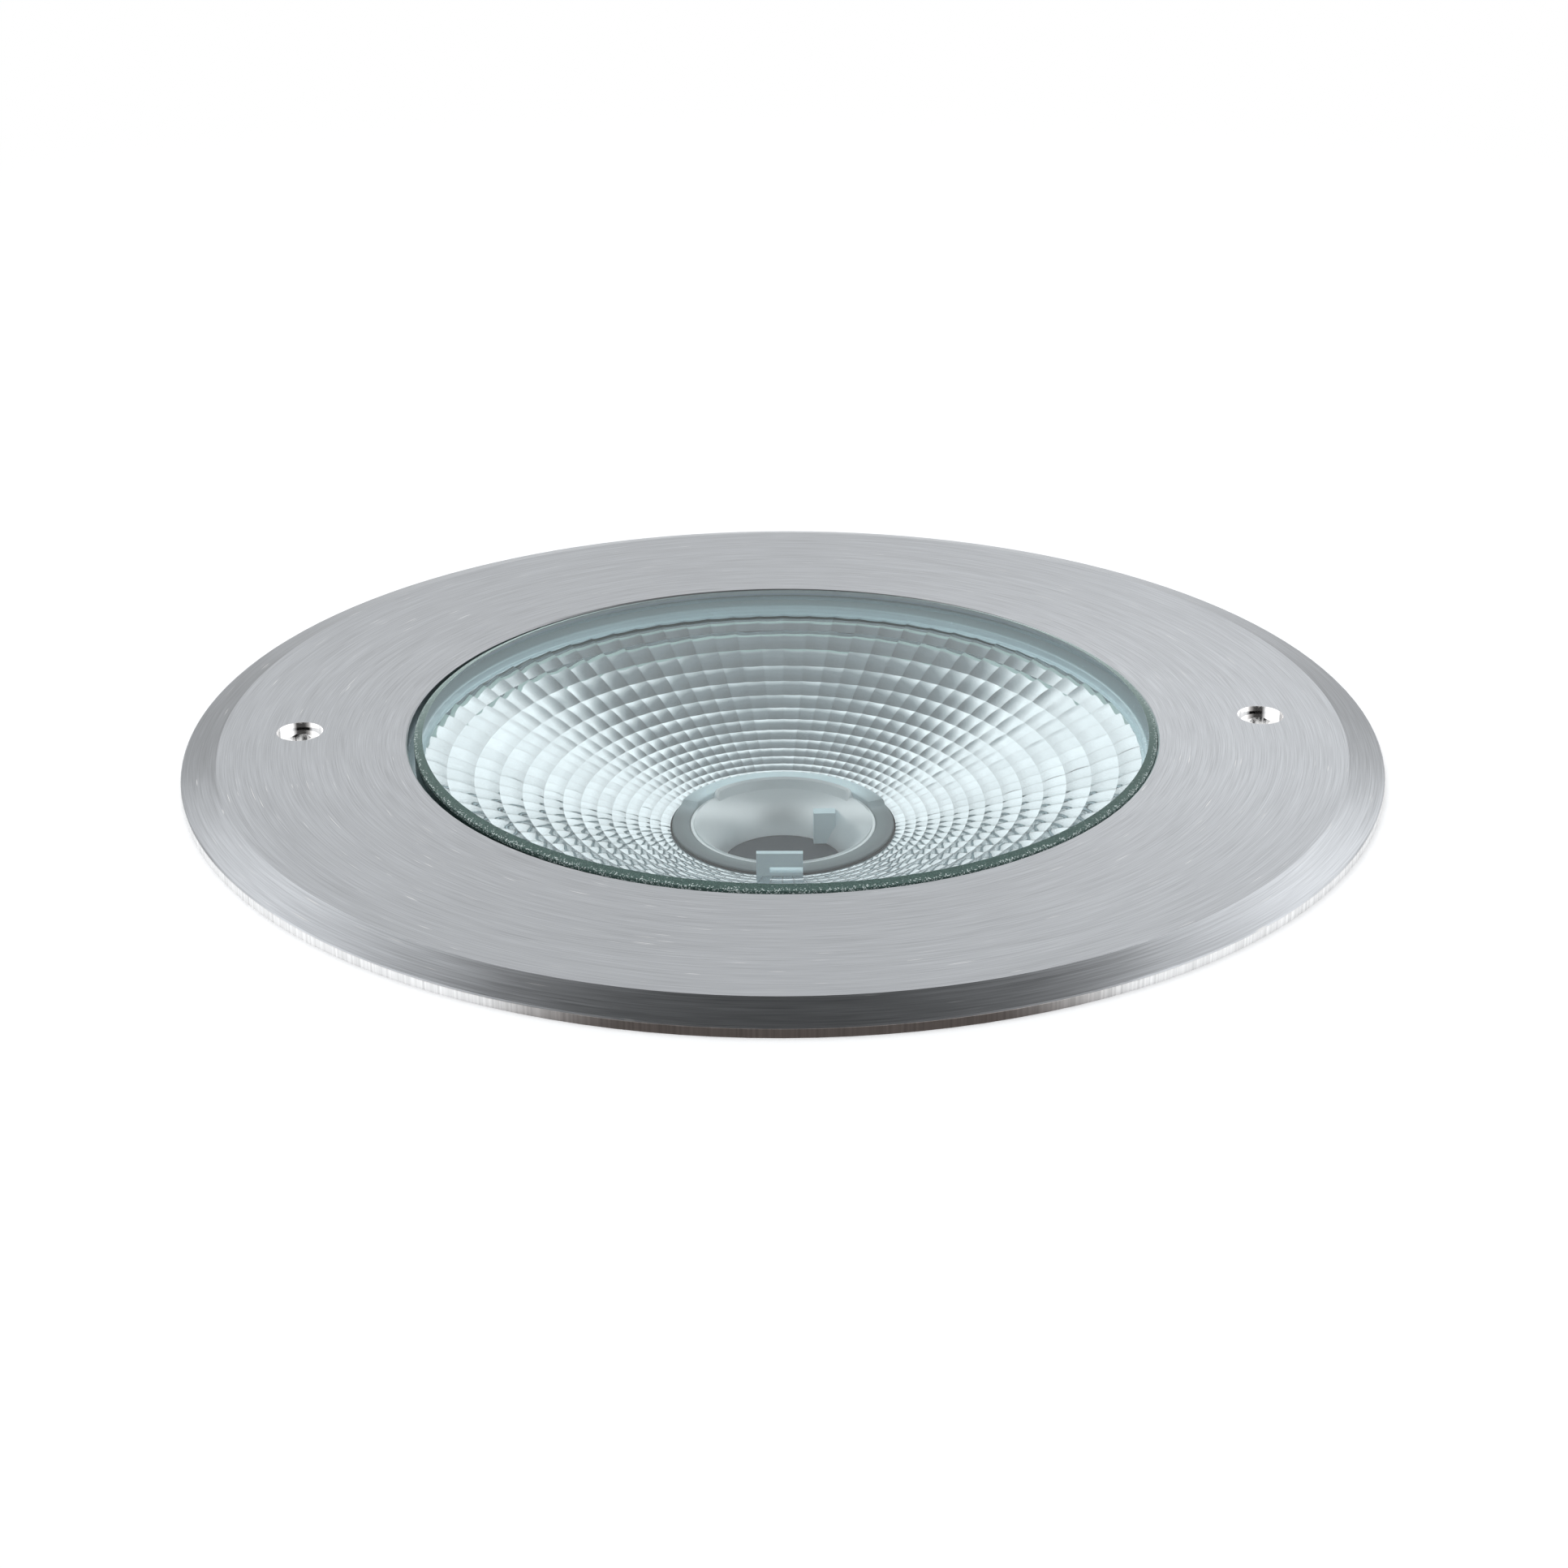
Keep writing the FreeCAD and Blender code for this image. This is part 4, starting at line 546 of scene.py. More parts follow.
def polished_material(rgb):
    """The cover screws: bright, with faint handling marks."""
    material, tree, shader = new_material("polished_screw")
    marks = place_group(tree, "fine_grain", Grain_mm=0.12, Cloud_mm=2.0)
    follow_marks(tree, shader, marks, (0.05, 0.13), 0.3, 0.004)
    feed(tree, shader, {"Base Color": shade_range(tree, marks.outputs["Tone"], rgb, 0.90, 1.06),
                        "Metallic": 1.0})
    return material


def facet_material(rgb, sizes):
    """Metallised facets: each has its own tone, painted shade at its inner end and sides, and painted dark
    lines that part the columns.
    """
    material, tree, shader = new_material("metallised_facets")
    marks = place_group(tree, "fine_grain", Grain_mm=0.35, Cloud_mm=9.0)
    radius, cosine, sine, _ = polar(tree, object_coordinates(tree))
    turn = minus(tree, calc(tree, "ARCTAN2", sine, cosine), OPTIC_CLOCK)
    column = times(tree, turn, sizes.facets / (2 * math.pi))
    growth = calc(tree, "LOGARITHM", calc(tree, "DIVIDE", radius, sizes.neck_radius), math.e)
    row = calc(tree, "DIVIDE", growth, -math.log(sizes.row_ratio))
    across, outward = calc(tree, "FRACT", column), calc(tree, "FRACT", row)
    number = combine(tree, calc(tree, "FLOOR", column), calc(tree, "FLOOR", row))
    own = add_node(tree, "ShaderNodeTexWhiteNoise", {"Vector": number}, noise_dimensions="2D")
    own_tone = plus(tree, 0.93, times(tree, own.outputs["Value"], 0.14))
    # Painted shade: each facet darkens towards its inner end.
    painted_inner_shade = map_range(tree, outward, 0.0, 0.6, 0.82, 1.0, smooth=True)

    # Painted shade: on the left and right of the bowl, a facet falls off towards its back and inner corner.
    on_right = times(tree, calc(tree, "ADD", times(tree, cosine, 6.0), 0.5, clamp=True), 2.0)
    to_back = plus(tree, 0.5, times(tree, minus(tree, on_right, 1.0), minus(tree, across, 0.5)))
    side_share = ramp_node(tree, calc(tree, "ABSOLUTE", cosine), [
        (0.0, 0.10), (0.12, 0.20), (0.4, 0.36), (0.75, 0.36), (0.93, 0.14), (1.0, 0.08)])
    painted_side_shade = times(tree, side_share, calc(tree, "POWER", to_back, 1.6),
                      minus(tree, 1.0, times(tree, outward, 0.75)))
    # Painted shade darkens the line between two columns, more deeply on the near half of the bowl.
    from_line = calc(tree, "MINIMUM", across, minus(tree, 1.0, across))
    depth = map_range(tree, sine, 0.15, -0.25, 0.07, 0.34)
    painted_crease_shade = times(tree, depth, map_range(tree, from_line, 0.13, 0.0))
    level = times(tree, painted_inner_shade, own_tone, minus(tree, 1.0, calc(tree, "MAXIMUM", painted_crease_shade, painted_side_shade)))
    feed(tree, shader, {
        "Base Color": scaled(tree, shade_range(tree, marks.outputs["Tone"], rgb, 0.98, 1.02), level),
        "Roughness": remap(tree, marks.outputs["Tone"], 0.02, 0.045), "Metallic": 1.0})
    return material


def clear_glass_material(rgb):
    """Coated clear glass with a faint tint, which lets lamp light through to what is under it."""
    material, tree, shader = new_material("clear_cover_glass")
    marks = place_group(tree, "fine_grain", Grain_mm=6.0, Cloud_mm=60.0)
    polish = {"Roughness": 0.0, "IOR": GLASS_IOR}
    feed(tree, shader, {
        "Base Color": opaque(rgb), "Transmission Weight": 1.0,
        "Normal": bump(tree, marks.outputs["Tone"], 0.03, 0.01), **polish})
    unmirrored = add_node(tree, "ShaderNodeBsdfRefraction", {0: opaque(rgb), **polish}).outputs[0]
    coated = mix_shaders(tree, COATING_SHARE, shader.outputs[0], unmirrored)
    both_faces = [part ** 2 for part in rgb]
    show(tree, mix_shaders(tree, any_ray(tree, "Shadow"), coated, see_through(tree, both_faces)))
    return material


def ground_margin_material(back, front, glass_radius):
    """Ground glass: a granular margin, with painted light that makes it paler on the far side, and painted
    glints as bright specks on its outer arris.
    """
    material, tree, shader = new_material("ground_glass_margin")
    place = object_coordinates(tree)
    radius, _, sine, _ = polar(tree, from_glass_centre(tree))
    grain = noise(tree, place, 4200.0, 2.0)
    # Painted light and shade: the margin runs from dark on the near side to pale on the far side.
    to_back = map_range(tree, sine, -0.35, 0.95, smooth=True)
    base = scaled(tree, mix_colour(tree, to_back, front, back), remap(tree, grain, 0.55, 1.45))
    # Painted glints: bright specks along the outer arris.
    specks = add_node(tree, "ShaderNodeTexVoronoi", {"Vector": place, "Scale": 4600.0}).outputs["Color"]
    on_arris = map_range(tree, radius, glass_radius - 0.95 * MM, glass_radius - 0.15 * MM, 0.0, 0.2)
    bright = minus(tree, plus(tree, separate(tree, specks)[0], on_arris), 0.985)
    bright = calc(tree, "MULTIPLY", bright, 30.0, clamp=True)
    feed(tree, shader, {
        "Base Color": mix_colour(tree, bright, base, (0.60, 0.68, 0.66)), "Roughness": 0.55,
        "Normal": bump(tree, grain, 0.8, 0.03)})
    # Seen in a mirror or through the glass, it is a painted glow, evenly pale.
    through = glow(tree, [part * 0.8 for part in back])
    show(tree, mix_shaders(tree, any_ray(tree, "Camera"), through, shader.outputs[0]))
    return material


def glass_side_material(outside, inside, upper, glass_radius):
    """The ground side of the glass: painted shade makes it dark green in the gap round it; from inside it
    is pale over grey-blue, with a painted glow.
    """
    material, tree, shader = new_material("ground_glass_side")
    radius, _, _, height = polar(tree, from_glass_centre(tree))
    marks = place_group(tree, "fine_grain", Grain_mm=0.25, Cloud_mm=8.0)
    outer_face = calc(tree, "GREATER_THAN", radius, glass_radius - 0.1 * MM)
    raised = map_range(tree, height, -0.1 * MM, 0.5 * MM)
    lower = shade_range(tree, marks.outputs["Tone"], inside, 0.92, 1.08)
    within = mix_colour(tree, raised, lower, upper)
    # Painted shade: the outer face is dark green, as in the shadow of the gap.
    painted_gap_shade = shade_range(tree, marks.outputs["Tone"], outside, 0.6, 1.5)
    # A painted glow on the inner face.
    painted_inner_glow = [part * 0.085 for part in inside]
    feed(tree, shader, {
        "Base Color": mix_colour(tree, outer_face, within, painted_gap_shade), "Roughness": 0.45,
        "Normal": bump(tree, marks.outputs["Height"], 0.5, 0.03),
        "Emission Color": mix_colour(tree, outer_face, painted_inner_glow, BLACK), "Emission Strength": 1.0})
    return material


def frosted_material(name, rgb, front_share=0.56, back_share=2.6, inner_share=1.3, brightest=2.6):
    """Translucent frosted plastic, with painted light: paler at the back, as where light from behind shines
    through it, and paler towards its inner edge.
    """
    material, tree, shader = new_material(name)
    marks = place_group(tree, "fine_grain", Grain_mm=0.3, Cloud_mm=6.0)
    place = object_coordinates(tree)
    y, radius = separate(tree, place)[1], polar(tree, place)[0]
    # Painted light: paler towards the back and towards the inner edge.
    through = map_range(tree, y, 2.0 * MM, 20.0 * MM, front_share, back_share, smooth=True)
    painted_inner_light = map_range(tree, radius, 21.2 * MM, 24.0 * MM, inner_share, 1.0, smooth=True)
    through = calc(tree, "MINIMUM", times(tree, through, painted_inner_light), brightest)
    tone = scaled(tree, shade_range(tree, marks.outputs["Tone"], rgb, 0.95, 1.05), through)
    follow_marks(tree, shader, marks, (0.36, 0.46), 0.3, 0.006)
    feed(tree, shader, {"Base Color": tone})
    return material


# ---------------------------------------------------------------- mesh helpers

def finish_mesh(mesh, name, material):
    """An object at the origin for a mesh, smooth but for its sharp edges."""
    mesh.shade_smooth()
    mesh.set_sharp_from_angle(angle=SHARP_ANGLE)
    made = bpy.data.objects.new(name, mesh)
    bpy.context.scene.collection.objects.link(made)
    mesh.materials.clear()
    mesh.materials.append(material)
    return made


def turned(name, outline, material, centre=(0.0, 0.0), lift=None):
    """A closed ring turned about Z from an anticlockwise outline of (radius, height), in millimetres.

    lift, where it is given, takes an angle and a height and gives the new height.
    """
    count = len(outline)
    points, faces = [], []
    for step in range(TURNED_SEGMENTS):
        angle = 2 * math.pi * step / TURNED_SEGMENTS
        for radius, height in outline:
            level = lift(angle, height) if lift else height
            points.append((centre[0] + radius * MM * math.cos(angle),
                           centre[1] + radius * MM * math.sin(angle), level * MM))
    for step in range(TURNED_SEGMENTS):
        here, there = step * count, (step + 1) % TURNED_SEGMENTS * count
        for i in range(count):
            j = (i + 1) % count
            faces.append((here + i, there + i, there + j, here + j))
    mesh = bpy.data.meshes.new(name)
    mesh.from_pydata(points, [], faces)
    mesh.validate()
    return finish_mesh(mesh, name, material)


def box_outline(inner, outer, bottom, top):
    """The four corners of a plain ring's section."""
    return [(inner, bottom), (outer, bottom), (outer, top), (inner, top)]


def rounded(outline, radius, steps=4):
    """The outline with every corner rounded by about the given radius, in millimetres."""
    made = []
    count = len(outline)
    for i, corner in enumerate(outline):
        before, after = Vector(outline[i - 1]), Vector(outline[(i + 1) % count])
        here = Vector(corner)
        first = here + (before - here).normalized() * min(radius, (before - here).length * 0.45)
        last = here + (after - here).normalized() * min(radius, (after - here).length * 0.45)
        for step in range(steps + 1):
            t = step / steps
            made.append(tuple((1 - t) ** 2 * first + 2 * t * (1 - t) * here + t * t * last))
    return made


def soften(name, width):
    """Rounds the edges of a CAD node; width in millimetres."""
    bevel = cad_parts[name].modifiers.new("rounded_edges", "BEVEL")
    bevel.width = width * MM
    bevel.segments = 3
    bevel.limit_method = "ANGLE"
    bevel.harden_normals = True


def give(node_names, material):
    """Puts a material on CAD nodes."""
    for name in node_names:
        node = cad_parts[name]
        node.data.materials.clear()
        node.data.materials.append(material)


def add_piece(piece, body, slot, *replaced):
    """Lets a piece ride on a body, in place of the CAD nodes named. The slot is not used."""
    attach(piece, body)
    if replaced:
        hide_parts(*replaced)


# ---------------------------------------------------------------- glass, rim and optic

def glass_margin_outline(sizes):
    """A thin skin over the glass's ground chamfer and a little way down its side."""
    radius, top = sizes.radius / MM, sizes.top / MM
    inner, foot = radius - sizes.chamfer_width / MM, top - sizes.chamfer_depth / MM
    under = [(inner, top + 0.012), (radius - 0.01, foot + 0.016), (radius + 0.005, foot - 0.02)]
    low_end = [(radius + 0.005, foot - 0.8), (radius + 0.035, foot - 0.8)]
    over = [(radius + 0.035, foot + 0.01), (radius + 0.01, foot + 0.05), (inner, top + 0.035)]
    return under + low_end + over


def glass_side_outline(sizes):
    """A thin skin just inside the glass's side, up to the chamfer."""
    inner, outer = sizes.radius / MM - 0.15, sizes.radius / MM - 0.05
    bottom, foot = -sizes.side_depth / MM, (sizes.top - sizes.chamfer_depth) / MM
    return [(inner, bottom), (outer, bottom), (outer, foot - 0.04), (inner, foot)]


def reflector_rim_outline():
    """Ledge, upright collar with a rounded lip, and the flange that hangs the bowl on the housing."""
    collar = [(78.3, -10.6), (80.3, -10.6), (80.3, -8.62)]
    flange = [(83.9, -8.62), (84.0, -8.5), (84.0, -7.8), (83.8, -7.65)]
    lip = [(80.4, -7.65), (80.1, -7.58), (79.8, -7.56), (79.5, -7.62), (79.33, -7.78), (79.3, -8.0)]
    ledge = [(79.3, -9.2), (79.15, -9.4), (78.6, -9.48), (78.3, -9.9)]
    return collar + flange + lip + ledge


def raised_back(top, rise, span, ramp):
    """A lift for turned() that raises the top half millimetre at the optic's back.

    The span is centred on +Y, turned with the optic, and has a ramp at each end. Angles are in radians.
    """
    def lift(angle, height):
        off = abs(math.remainder(angle - math.pi / 2 - OPTIC_CLOCK, 2 * math.pi))
        t = min(1.0, max(0.0, (span / 2 - off) / ramp + 0.5))
        return height + (rise * t * t * (3 - 2 * t) if height > top - 0.5 else 0.0)

    return lift


def holder_piece(sizes, material):
    """The holder ring, with rounded edges and a raised back; the two notches at the ends of the back are
    not made.
    """
    inner, outer = sizes.ring_hole / MM, sizes.ring_radius / MM
    top = -sizes.top_depth / MM
    bottom = top - sizes.ring_height / MM
    lift = raised_back(top, sizes.back_rise / MM, sizes.back_span, sizes.back_ramp)
    soft_box = rounded(box_outline(inner, outer, bottom, top), 0.45)
    skirt_box = box_outline(sizes.skirt_hole / MM, outer, -sizes.skirt_depth / MM, bottom)
    return (turned("holder_ring_top", soft_box, material, lift=lift),
            turned("holder_ring_skirt", skirt_box, material))


def cup_piece(sizes, material):
    """The mixing cup: a wall that flares up from the lens, with a raised lip at the back."""
    mouth, floor, wall = sizes.cup_mouth / MM, sizes.cup_floor / MM, sizes.cup_wall / MM
    top, bottom = -sizes.top_depth / MM, -sizes.cup_depth / MM
    inner = []
    for step in range(FLARE_STEPS + 1):
        straight = step / FLARE_STEPS
        turn = straight * math.pi / 2
        out = 0.5 * straight + 0.5 * (1 - math.cos(turn))
        up = 0.5 * straight + 0.5 * math.sin(turn)
        inner.append((floor + (mouth - floor) * out, bottom + (top - bottom) * up))
    outer = [(radius + wall, height - 0.3) for radius, height in inner]
    brim = [(mouth + wall, top - 0.45), (mouth + wall - 0.15, top - 0.3), (mouth + 0.15, top - 0.3)]
    lift = raised_back(top, sizes.lip_rise / MM, sizes.lip_span, sizes.lip_ramp)
    return turned("satin_cup", outer + brim + inner[::-1], material, lift=lift)


# ---------------------------------------------------------------- faceted bowl

def bowl_height(tree, radius, given):
    """Height of the bowl at a radius: a straight and a squared rise from its neck."""
    neck = given["Neck Radius"]
    run = times(tree, minus(tree, radius, neck), given["Slope"])
    rise = times(tree, minus(tree, times(tree, radius, radius), times(tree, neck, neck)), given["Curve"])
    return minus(tree, plus(tree, run, rise), given["Neck Depth"])


def facet_bowl_group(sizes):
    """Geometry nodes: rows of facets, crowned along the bowl and hollow across, closed into a shell.

    sizes maps the name of each input to the value that it starts with.
    """
    group = bpy.data.node_groups.new("facet_bowl", "GeometryNodeTree")
    kinds = {int: "NodeSocketInt", float: "NodeSocketFloat"}
    inputs = [(name, kinds[type(value)], value) for name, value in sizes.items()]
    inputs.append(("Material", "NodeSocketMaterial", None))
    start, end = group_sockets(group, inputs, [("Geometry", "NodeSocketGeometry")])
    given = start.outputs

    def corners(number):
        """Corners along a side of the grid that holds a number of facets."""
        return plus(group, times(group, number, given["Steps"]), 1.0)

    grid = add_node(group, "GeometryNodeMeshGrid", {
        "Size X": 1.0, "Size Y": 1.0, "Vertices X": corners(given["Facets"]),
        "Vertices Y": corners(given["Rows"])})
    place = separate(group, group.nodes.new("GeometryNodeInputPosition").outputs[0])

    def cell(axis, number):
        """Along a side of the grid: cell number, part of the cell, swing (-1 to 1), arch and border."""
        run = times(group, plus(group, place[axis], 0.5), number)
        last = minus(group, number, 1.0)
        whole = calc(group, "MINIMUM", calc(group, "FLOOR", plus(group, run, 1e-4)), last)
        part = calc(group, "SUBTRACT", run, whole, clamp=True)
        swing = minus(group, times(group, part, 2.0), 1.0)
        arch = minus(group, 1.0, times(group, swing, swing))
        border = calc(group, "GREATER_THAN", calc(group, "ABSOLUTE", swing), 0.999)
        return whole, part, swing, arch, border

    column, _, across, arch_across, column_edge = cell(0, given["Facets"])
    row, row_part, _, arch_along, row_edge = cell(1, given["Rows"])

    def row_radius(number):
        """Inner radius of a row."""
        shrunk = calc(group, "POWER", given["Row Ratio"], number)
        grown = calc(group, "DIVIDE", given["Neck Radius"], shrunk)
        return calc(group, "MINIMUM", grown, given["Rim Radius"])

    inner, outer = row_radius(row), row_radius(plus(group, row, 1.0))
    depth = minus(group, outer, inner)
    radius = plus(group, inner, times(group, depth, row_part))
    low, high = bowl_height(group, inner, given), bowl_height(group, outer, given)
    rise = minus(group, high, low)
    level = plus(group, low, times(group, rise, row_part))
    half = calc(group, "DIVIDE", math.pi, given["Facets"])
    turn = plus(group, given["Clock"], times(group, plus(group, column, 0.5), 2.0, half))
    cosine, sine = calc(group, "COSINE", turn), calc(group, "SINE", turn)
    along = times(group, across, times(group, radius, calc(group, "SINE", half)))
    outward = times(group, radius, calc(group, "COSINE", half))
    width = times(group, radius, times(group, half, 2.0))
    seed = plus(group, column, times(group, row, 100.0))
    uneven = add_node(group, "FunctionNodeRandomValue", {"Min": 0.8, "Max": 1.2, "ID": seed, "Seed": 4})
    arch_along = times(group, arch_along, uneven.outputs["Value"])
    crown = plus(group, times(group, depth, given["Crown"], arch_along),
                 times(group, width, given["Side Crown"], arch_across))
    pitch = calc(group, "ARCTAN2", rise, depth)
    outward = minus(group, outward, times(group, crown, calc(group, "SINE", pitch)))
    level = plus(group, level, times(group, crown, calc(group, "COSINE", pitch)))
    east = minus(group, times(group, outward, cosine), times(group, along, sine))
    north = plus(group, times(group, outward, sine), times(group, along, cosine))

    def step(kind, geometry, inputs=None, **settings):
        """The geometry after one more node."""
        return add_node(group, kind, {"Geometry": geometry, **(inputs or {})}, **settings).outputs[0]

    borders = {"column_edge": column_edge, "row_edge": row_edge}
    sheet = grid.outputs["Mesh"]
    for name, border in borders.items():
        sheet = step("GeometryNodeStoreNamedAttribute", sheet, {"Name": name, "Value": border},
                     data_type="BOOLEAN", domain="POINT")
    sheet = step("GeometryNodeSetPosition", sheet, {"Position": combine(group, east, north, level)})
    sheet = step("GeometryNodeMergeByDistance", sheet, {"Distance": MERGE_DISTANCE})
    drop = combine(group, 0.0, 0.0, times(group, given["Wall"], -1.0))
    back = add_node(group, "GeometryNodeExtrudeMesh", {
        "Mesh": sheet, "Offset": drop, "Offset Scale": 1.0, "Individual": False}, mode="FACES")
    flipped = add_node(group, "GeometryNodeFlipFaces", {"Mesh": back.outputs["Mesh"]}).outputs[0]
    both = group.nodes.new("GeometryNodeJoinGeometry")
    for part in (flipped, sheet):
        group.links.new(part, both.inputs[0])
    shell = step("GeometryNodeMergeByDistance", both.outputs[0], {"Distance": MERGE_DISTANCE})
    shell = step("GeometryNodeSetShadeSmooth", shell, {"Shade Smooth": True}, domain="FACE")
    for name in borders:
        border = add_node(group, "GeometryNodeInputNamedAttribute", {"Name": name}, data_type="BOOLEAN")
        shell = step("GeometryNodeSetShadeSmooth", shell, {
            "Selection": border.outputs[0], "Shade Smooth": False}, domain="EDGE")
        shell = step("GeometryNodeRemoveAttribute", shell, {"Name": name})
    shell = step("GeometryNodeRealizeInstances", shell)
    shell = step("GeometryNodeSetMaterial", shell, {"Material": given["Material"]})
    group.links.new(shell, end.inputs[0])
    return group


def evaluated_piece(name, group, values, material):
    """Runs a node tree with named inputs and keeps its result as a plain mesh."""
    carrier = bpy.data.objects.new(name + "_carrier", bpy.data.meshes.new(name + "_carrier"))
    bpy.context.scene.collection.objects.link(carrier)
    modifier = carrier.modifiers.new("rule", "NODES")
    modifier.node_group = group
    for item in group.interface.items_tree:
        if item.item_type == "SOCKET" and item.in_out == "INPUT" and item.name in values:
            modifier[item.identifier] = values[item.name]
    bpy.context.view_layer.update()
    result = carrier.evaluated_get(bpy.context.evaluated_depsgraph_get())
    mesh = bpy.data.meshes.new_from_object(result)
    carrier.modifiers.remove(modifier)
    bpy.data.objects.remove(carrier)
    if len(mesh.polygons) == 0:
        raise RuntimeError(f"{name} came out empty")
    mesh.name = name
    mesh.materials.clear()
    mesh.materials.append(material)
    made = bpy.data.objects.new(name, mesh)
    bpy.context.scene.collection.objects.link(made)
    return made


# ---------------------------------------------------------------- operators

class FinishTrimRing(bpy.types.Operator):
    """Gives the trim ring its circular brushing"""
    bl_idname = "well_light.trim_ring"
    bl_label = "Trim ring"

    def execute(self, context):
        scene = context.scene
        give(["trim_ring"], brushed_ring_material(scene.well_light_colours.steel, scene.well_light_ring))
        fixings = machined("stud_steel", (0.58, 0.58, 0.58), rough=(0.30, 0.42), lines=2.0)
        give(["ring_studs", "stud_nuts", "stud_washers"], fixings)
        return {"FINISHED"}


class FinishGlass(bpy.types.Operator):
    """Makes the clear glass, its ground margin and side, and the soft gaskets that hold it"""
    bl_idname = "well_light.glass"
    bl_label = "Cover glass"

    def execute(self, context):
        colours = context.scene.well_light_colours
        sizes = context.scene.well_light_glass
        give(["cover_glass"], clear_glass_material(colours.glass))
        centre = (GLASS_CENTRE.x, GLASS_CENTRE.y)
        margin = ground_margin_material(colours.margin_back_lit, colours.margin_front_shaded, sizes.radius)
        band = turned("glass_margin", glass_margin_outline(sizes), margin, centre)
        add_piece(band, INSERT, "clear_glass")
        side = glass_side_material(colours.edge, colours.edge_inside, colours.edge_top, sizes.radius)
        skin = turned("glass_side", glass_side_outline(sizes), side, centre)
        add_piece(skin, INSERT, "clear_glass")
        dark = moulded("gasket_rubber", (0.022, 0.022, 0.023), rough=(0.5, 0.7), grain=0.3, cloud=12.0)
        upper = box_outline(inner=82.4, outer=87.4, bottom=-0.96, top=-0.04)
        top_bead = turned("upper_gasket_bead", rounded(upper, 0.35), dark)
        add_piece(top_bead, INSERT, "seal_rubber", "upper_glass_gasket")
        # The lower gasket's pale colour is partly its own and partly painted light, and it has a painted
        # glow.
        pale = moulded("pale_silicone_and_painted_light", (0.56, 0.69, 0.73), rough=(0.4, 0.55), grain=0.3, cloud=12.0,
                       Emission_Color=opaque(colours.scattered), Emission_Strength=0.6)
        lower = box_outline(inner=84.65, outer=88.6, bottom=-8.56, top=-7.16)
        low_bead = turned("lower_gasket_bead", rounded(lower, 0.4), pale)
        add_piece(low_bead, INSERT, "seal_rubber", "lower_glass_gasket")
        give(["gland_gasket", "gland_seal", "left_screw_seal", "right_screw_seal", "rim_gasket",
              "inlet_grommet"], dark)
        return {"FINISHED"}


class MakeReflector(bpy.types.Operator):
    """Makes the bowl of facets and its rim"""
    bl_idname = "well_light.reflector"
    bl_label = "Faceted reflector"

    def execute(self, context):
        colours = context.scene.well_light_colours
        sizes = context.scene.well_light_reflector
        material = facet_material(colours.mirror, sizes)
        keys = ReflectorSizes.__annotations__
        values = {key.replace("_", " ").title(): getattr(sizes, key) for key in keys}
        values["Clock"] = OPTIC_CLOCK
        group = facet_bowl_group(values)
        bowl = evaluated_piece("facet_bowl", group, {**values, "Material": material}, material)
        add_piece(bowl, INSERT, "reflector_mirror", "reflector")
        # The rim's pale colour is partly its own and partly painted light, and it has a painted glow.
        rim_finish = moulded("reflector_rim", (0.54, 0.66, 0.70), rough=(0.20, 0.28), grain=0.5, cloud=14.0,
                             relief=0.006, metallic=0.4, spread=(0.92, 1.08),
                             Emission_Color=opaque(colours.scattered), Emission_Strength=1.0)
        rim = turned("reflector_rim", reflector_rim_outline(), rim_finish)
        add_piece(rim, INSERT, "reflector_mirror", "reflector")
        return {"FINISHED"}


class FinishOptic(bpy.types.Operator):
    """Makes the holder ring and cup, and finishes the clip, wire guide and lens at the bowl's middle"""
    bl_idname = "well_light.optic"
    bl_label = "Optic"

    def execute(self, context):
        colours = context.scene.well_light_colours
        sizes = context.scene.well_light_optic
        for piece in holder_piece(sizes, frosted_material("frosted_holder", colours.frosted)):
            add_piece(piece, INSERT, "frosted_plastic", "holder_ring")
        give(["latch_clip", "wire_guide"], frosted_material(
            "frosted_clip", colours.frosted, front_share=2.5, back_share=2.5, inner_share=1.0))
        soften("latch_clip", 0.25)
        soften("wire_guide", 0.2)
        cup = moulded("satin_metal", colours.cup, rough=(0.34, 0.42), grain=0.25, cloud=5.0, relief=0.004,
                      metallic=0.6, spread=(0.96, 1.04))
        add_piece(cup_piece(sizes, cup), INSERT, "satin_aluminium", "mixing_cup")
        lens = moulded("frosted_lens", colours.lens, rough=(0.42, 0.55), grain=0.4, cloud=4.0, relief=0.01,
                       spread=(0.92, 1.08))
        give(["led_lens"], lens)
        return {"FINISHED"}


class FinishLightSource(bpy.types.Operator):
    """Finishes the light source, its frame, pad, spreader plate and leads"""
    bl_idname = "well_light.light_source"
    bl_label = "Light source"

    def execute(self, context):
        give(["led_phosphor"], moulded("phosphor", (0.86, 0.66, 0.16), rough=(0.35, 0.5), grain=0.2,
                                       cloud=3.0))
        give(["led_substrate"], moulded("ceramic_plate", (0.80, 0.80, 0.78), rough=(0.3, 0.45), grain=0.2))
        give(["thermal_pad"], moulded("thermal_pad", (0.25, 0.28, 0.31), rough=(0.7, 0.85), grain=0.3))
        give(["led_frame", "terminal_block", "left_screw_retainer", "right_screw_retainer"],
             moulded("white_plastic", (0.76, 0.76, 0.73), rough=(0.35, 0.5), grain=0.4))
        give(["heat_spreader"], machined("turned_aluminium", (0.72, 0.73, 0.74), lines=1.6, relief=0.01))
        give(["spreader_screws", "driver_screws", "terminal_screws"],
             machined("plain_screw_steel", (0.60, 0.60, 0.60), lines=2.0))
        give(["led_leads"], moulded("lead_insulation", (0.50, 0.03, 0.025), rough=(0.3, 0.42), grain=0.3))
        return {"FINISHED"}


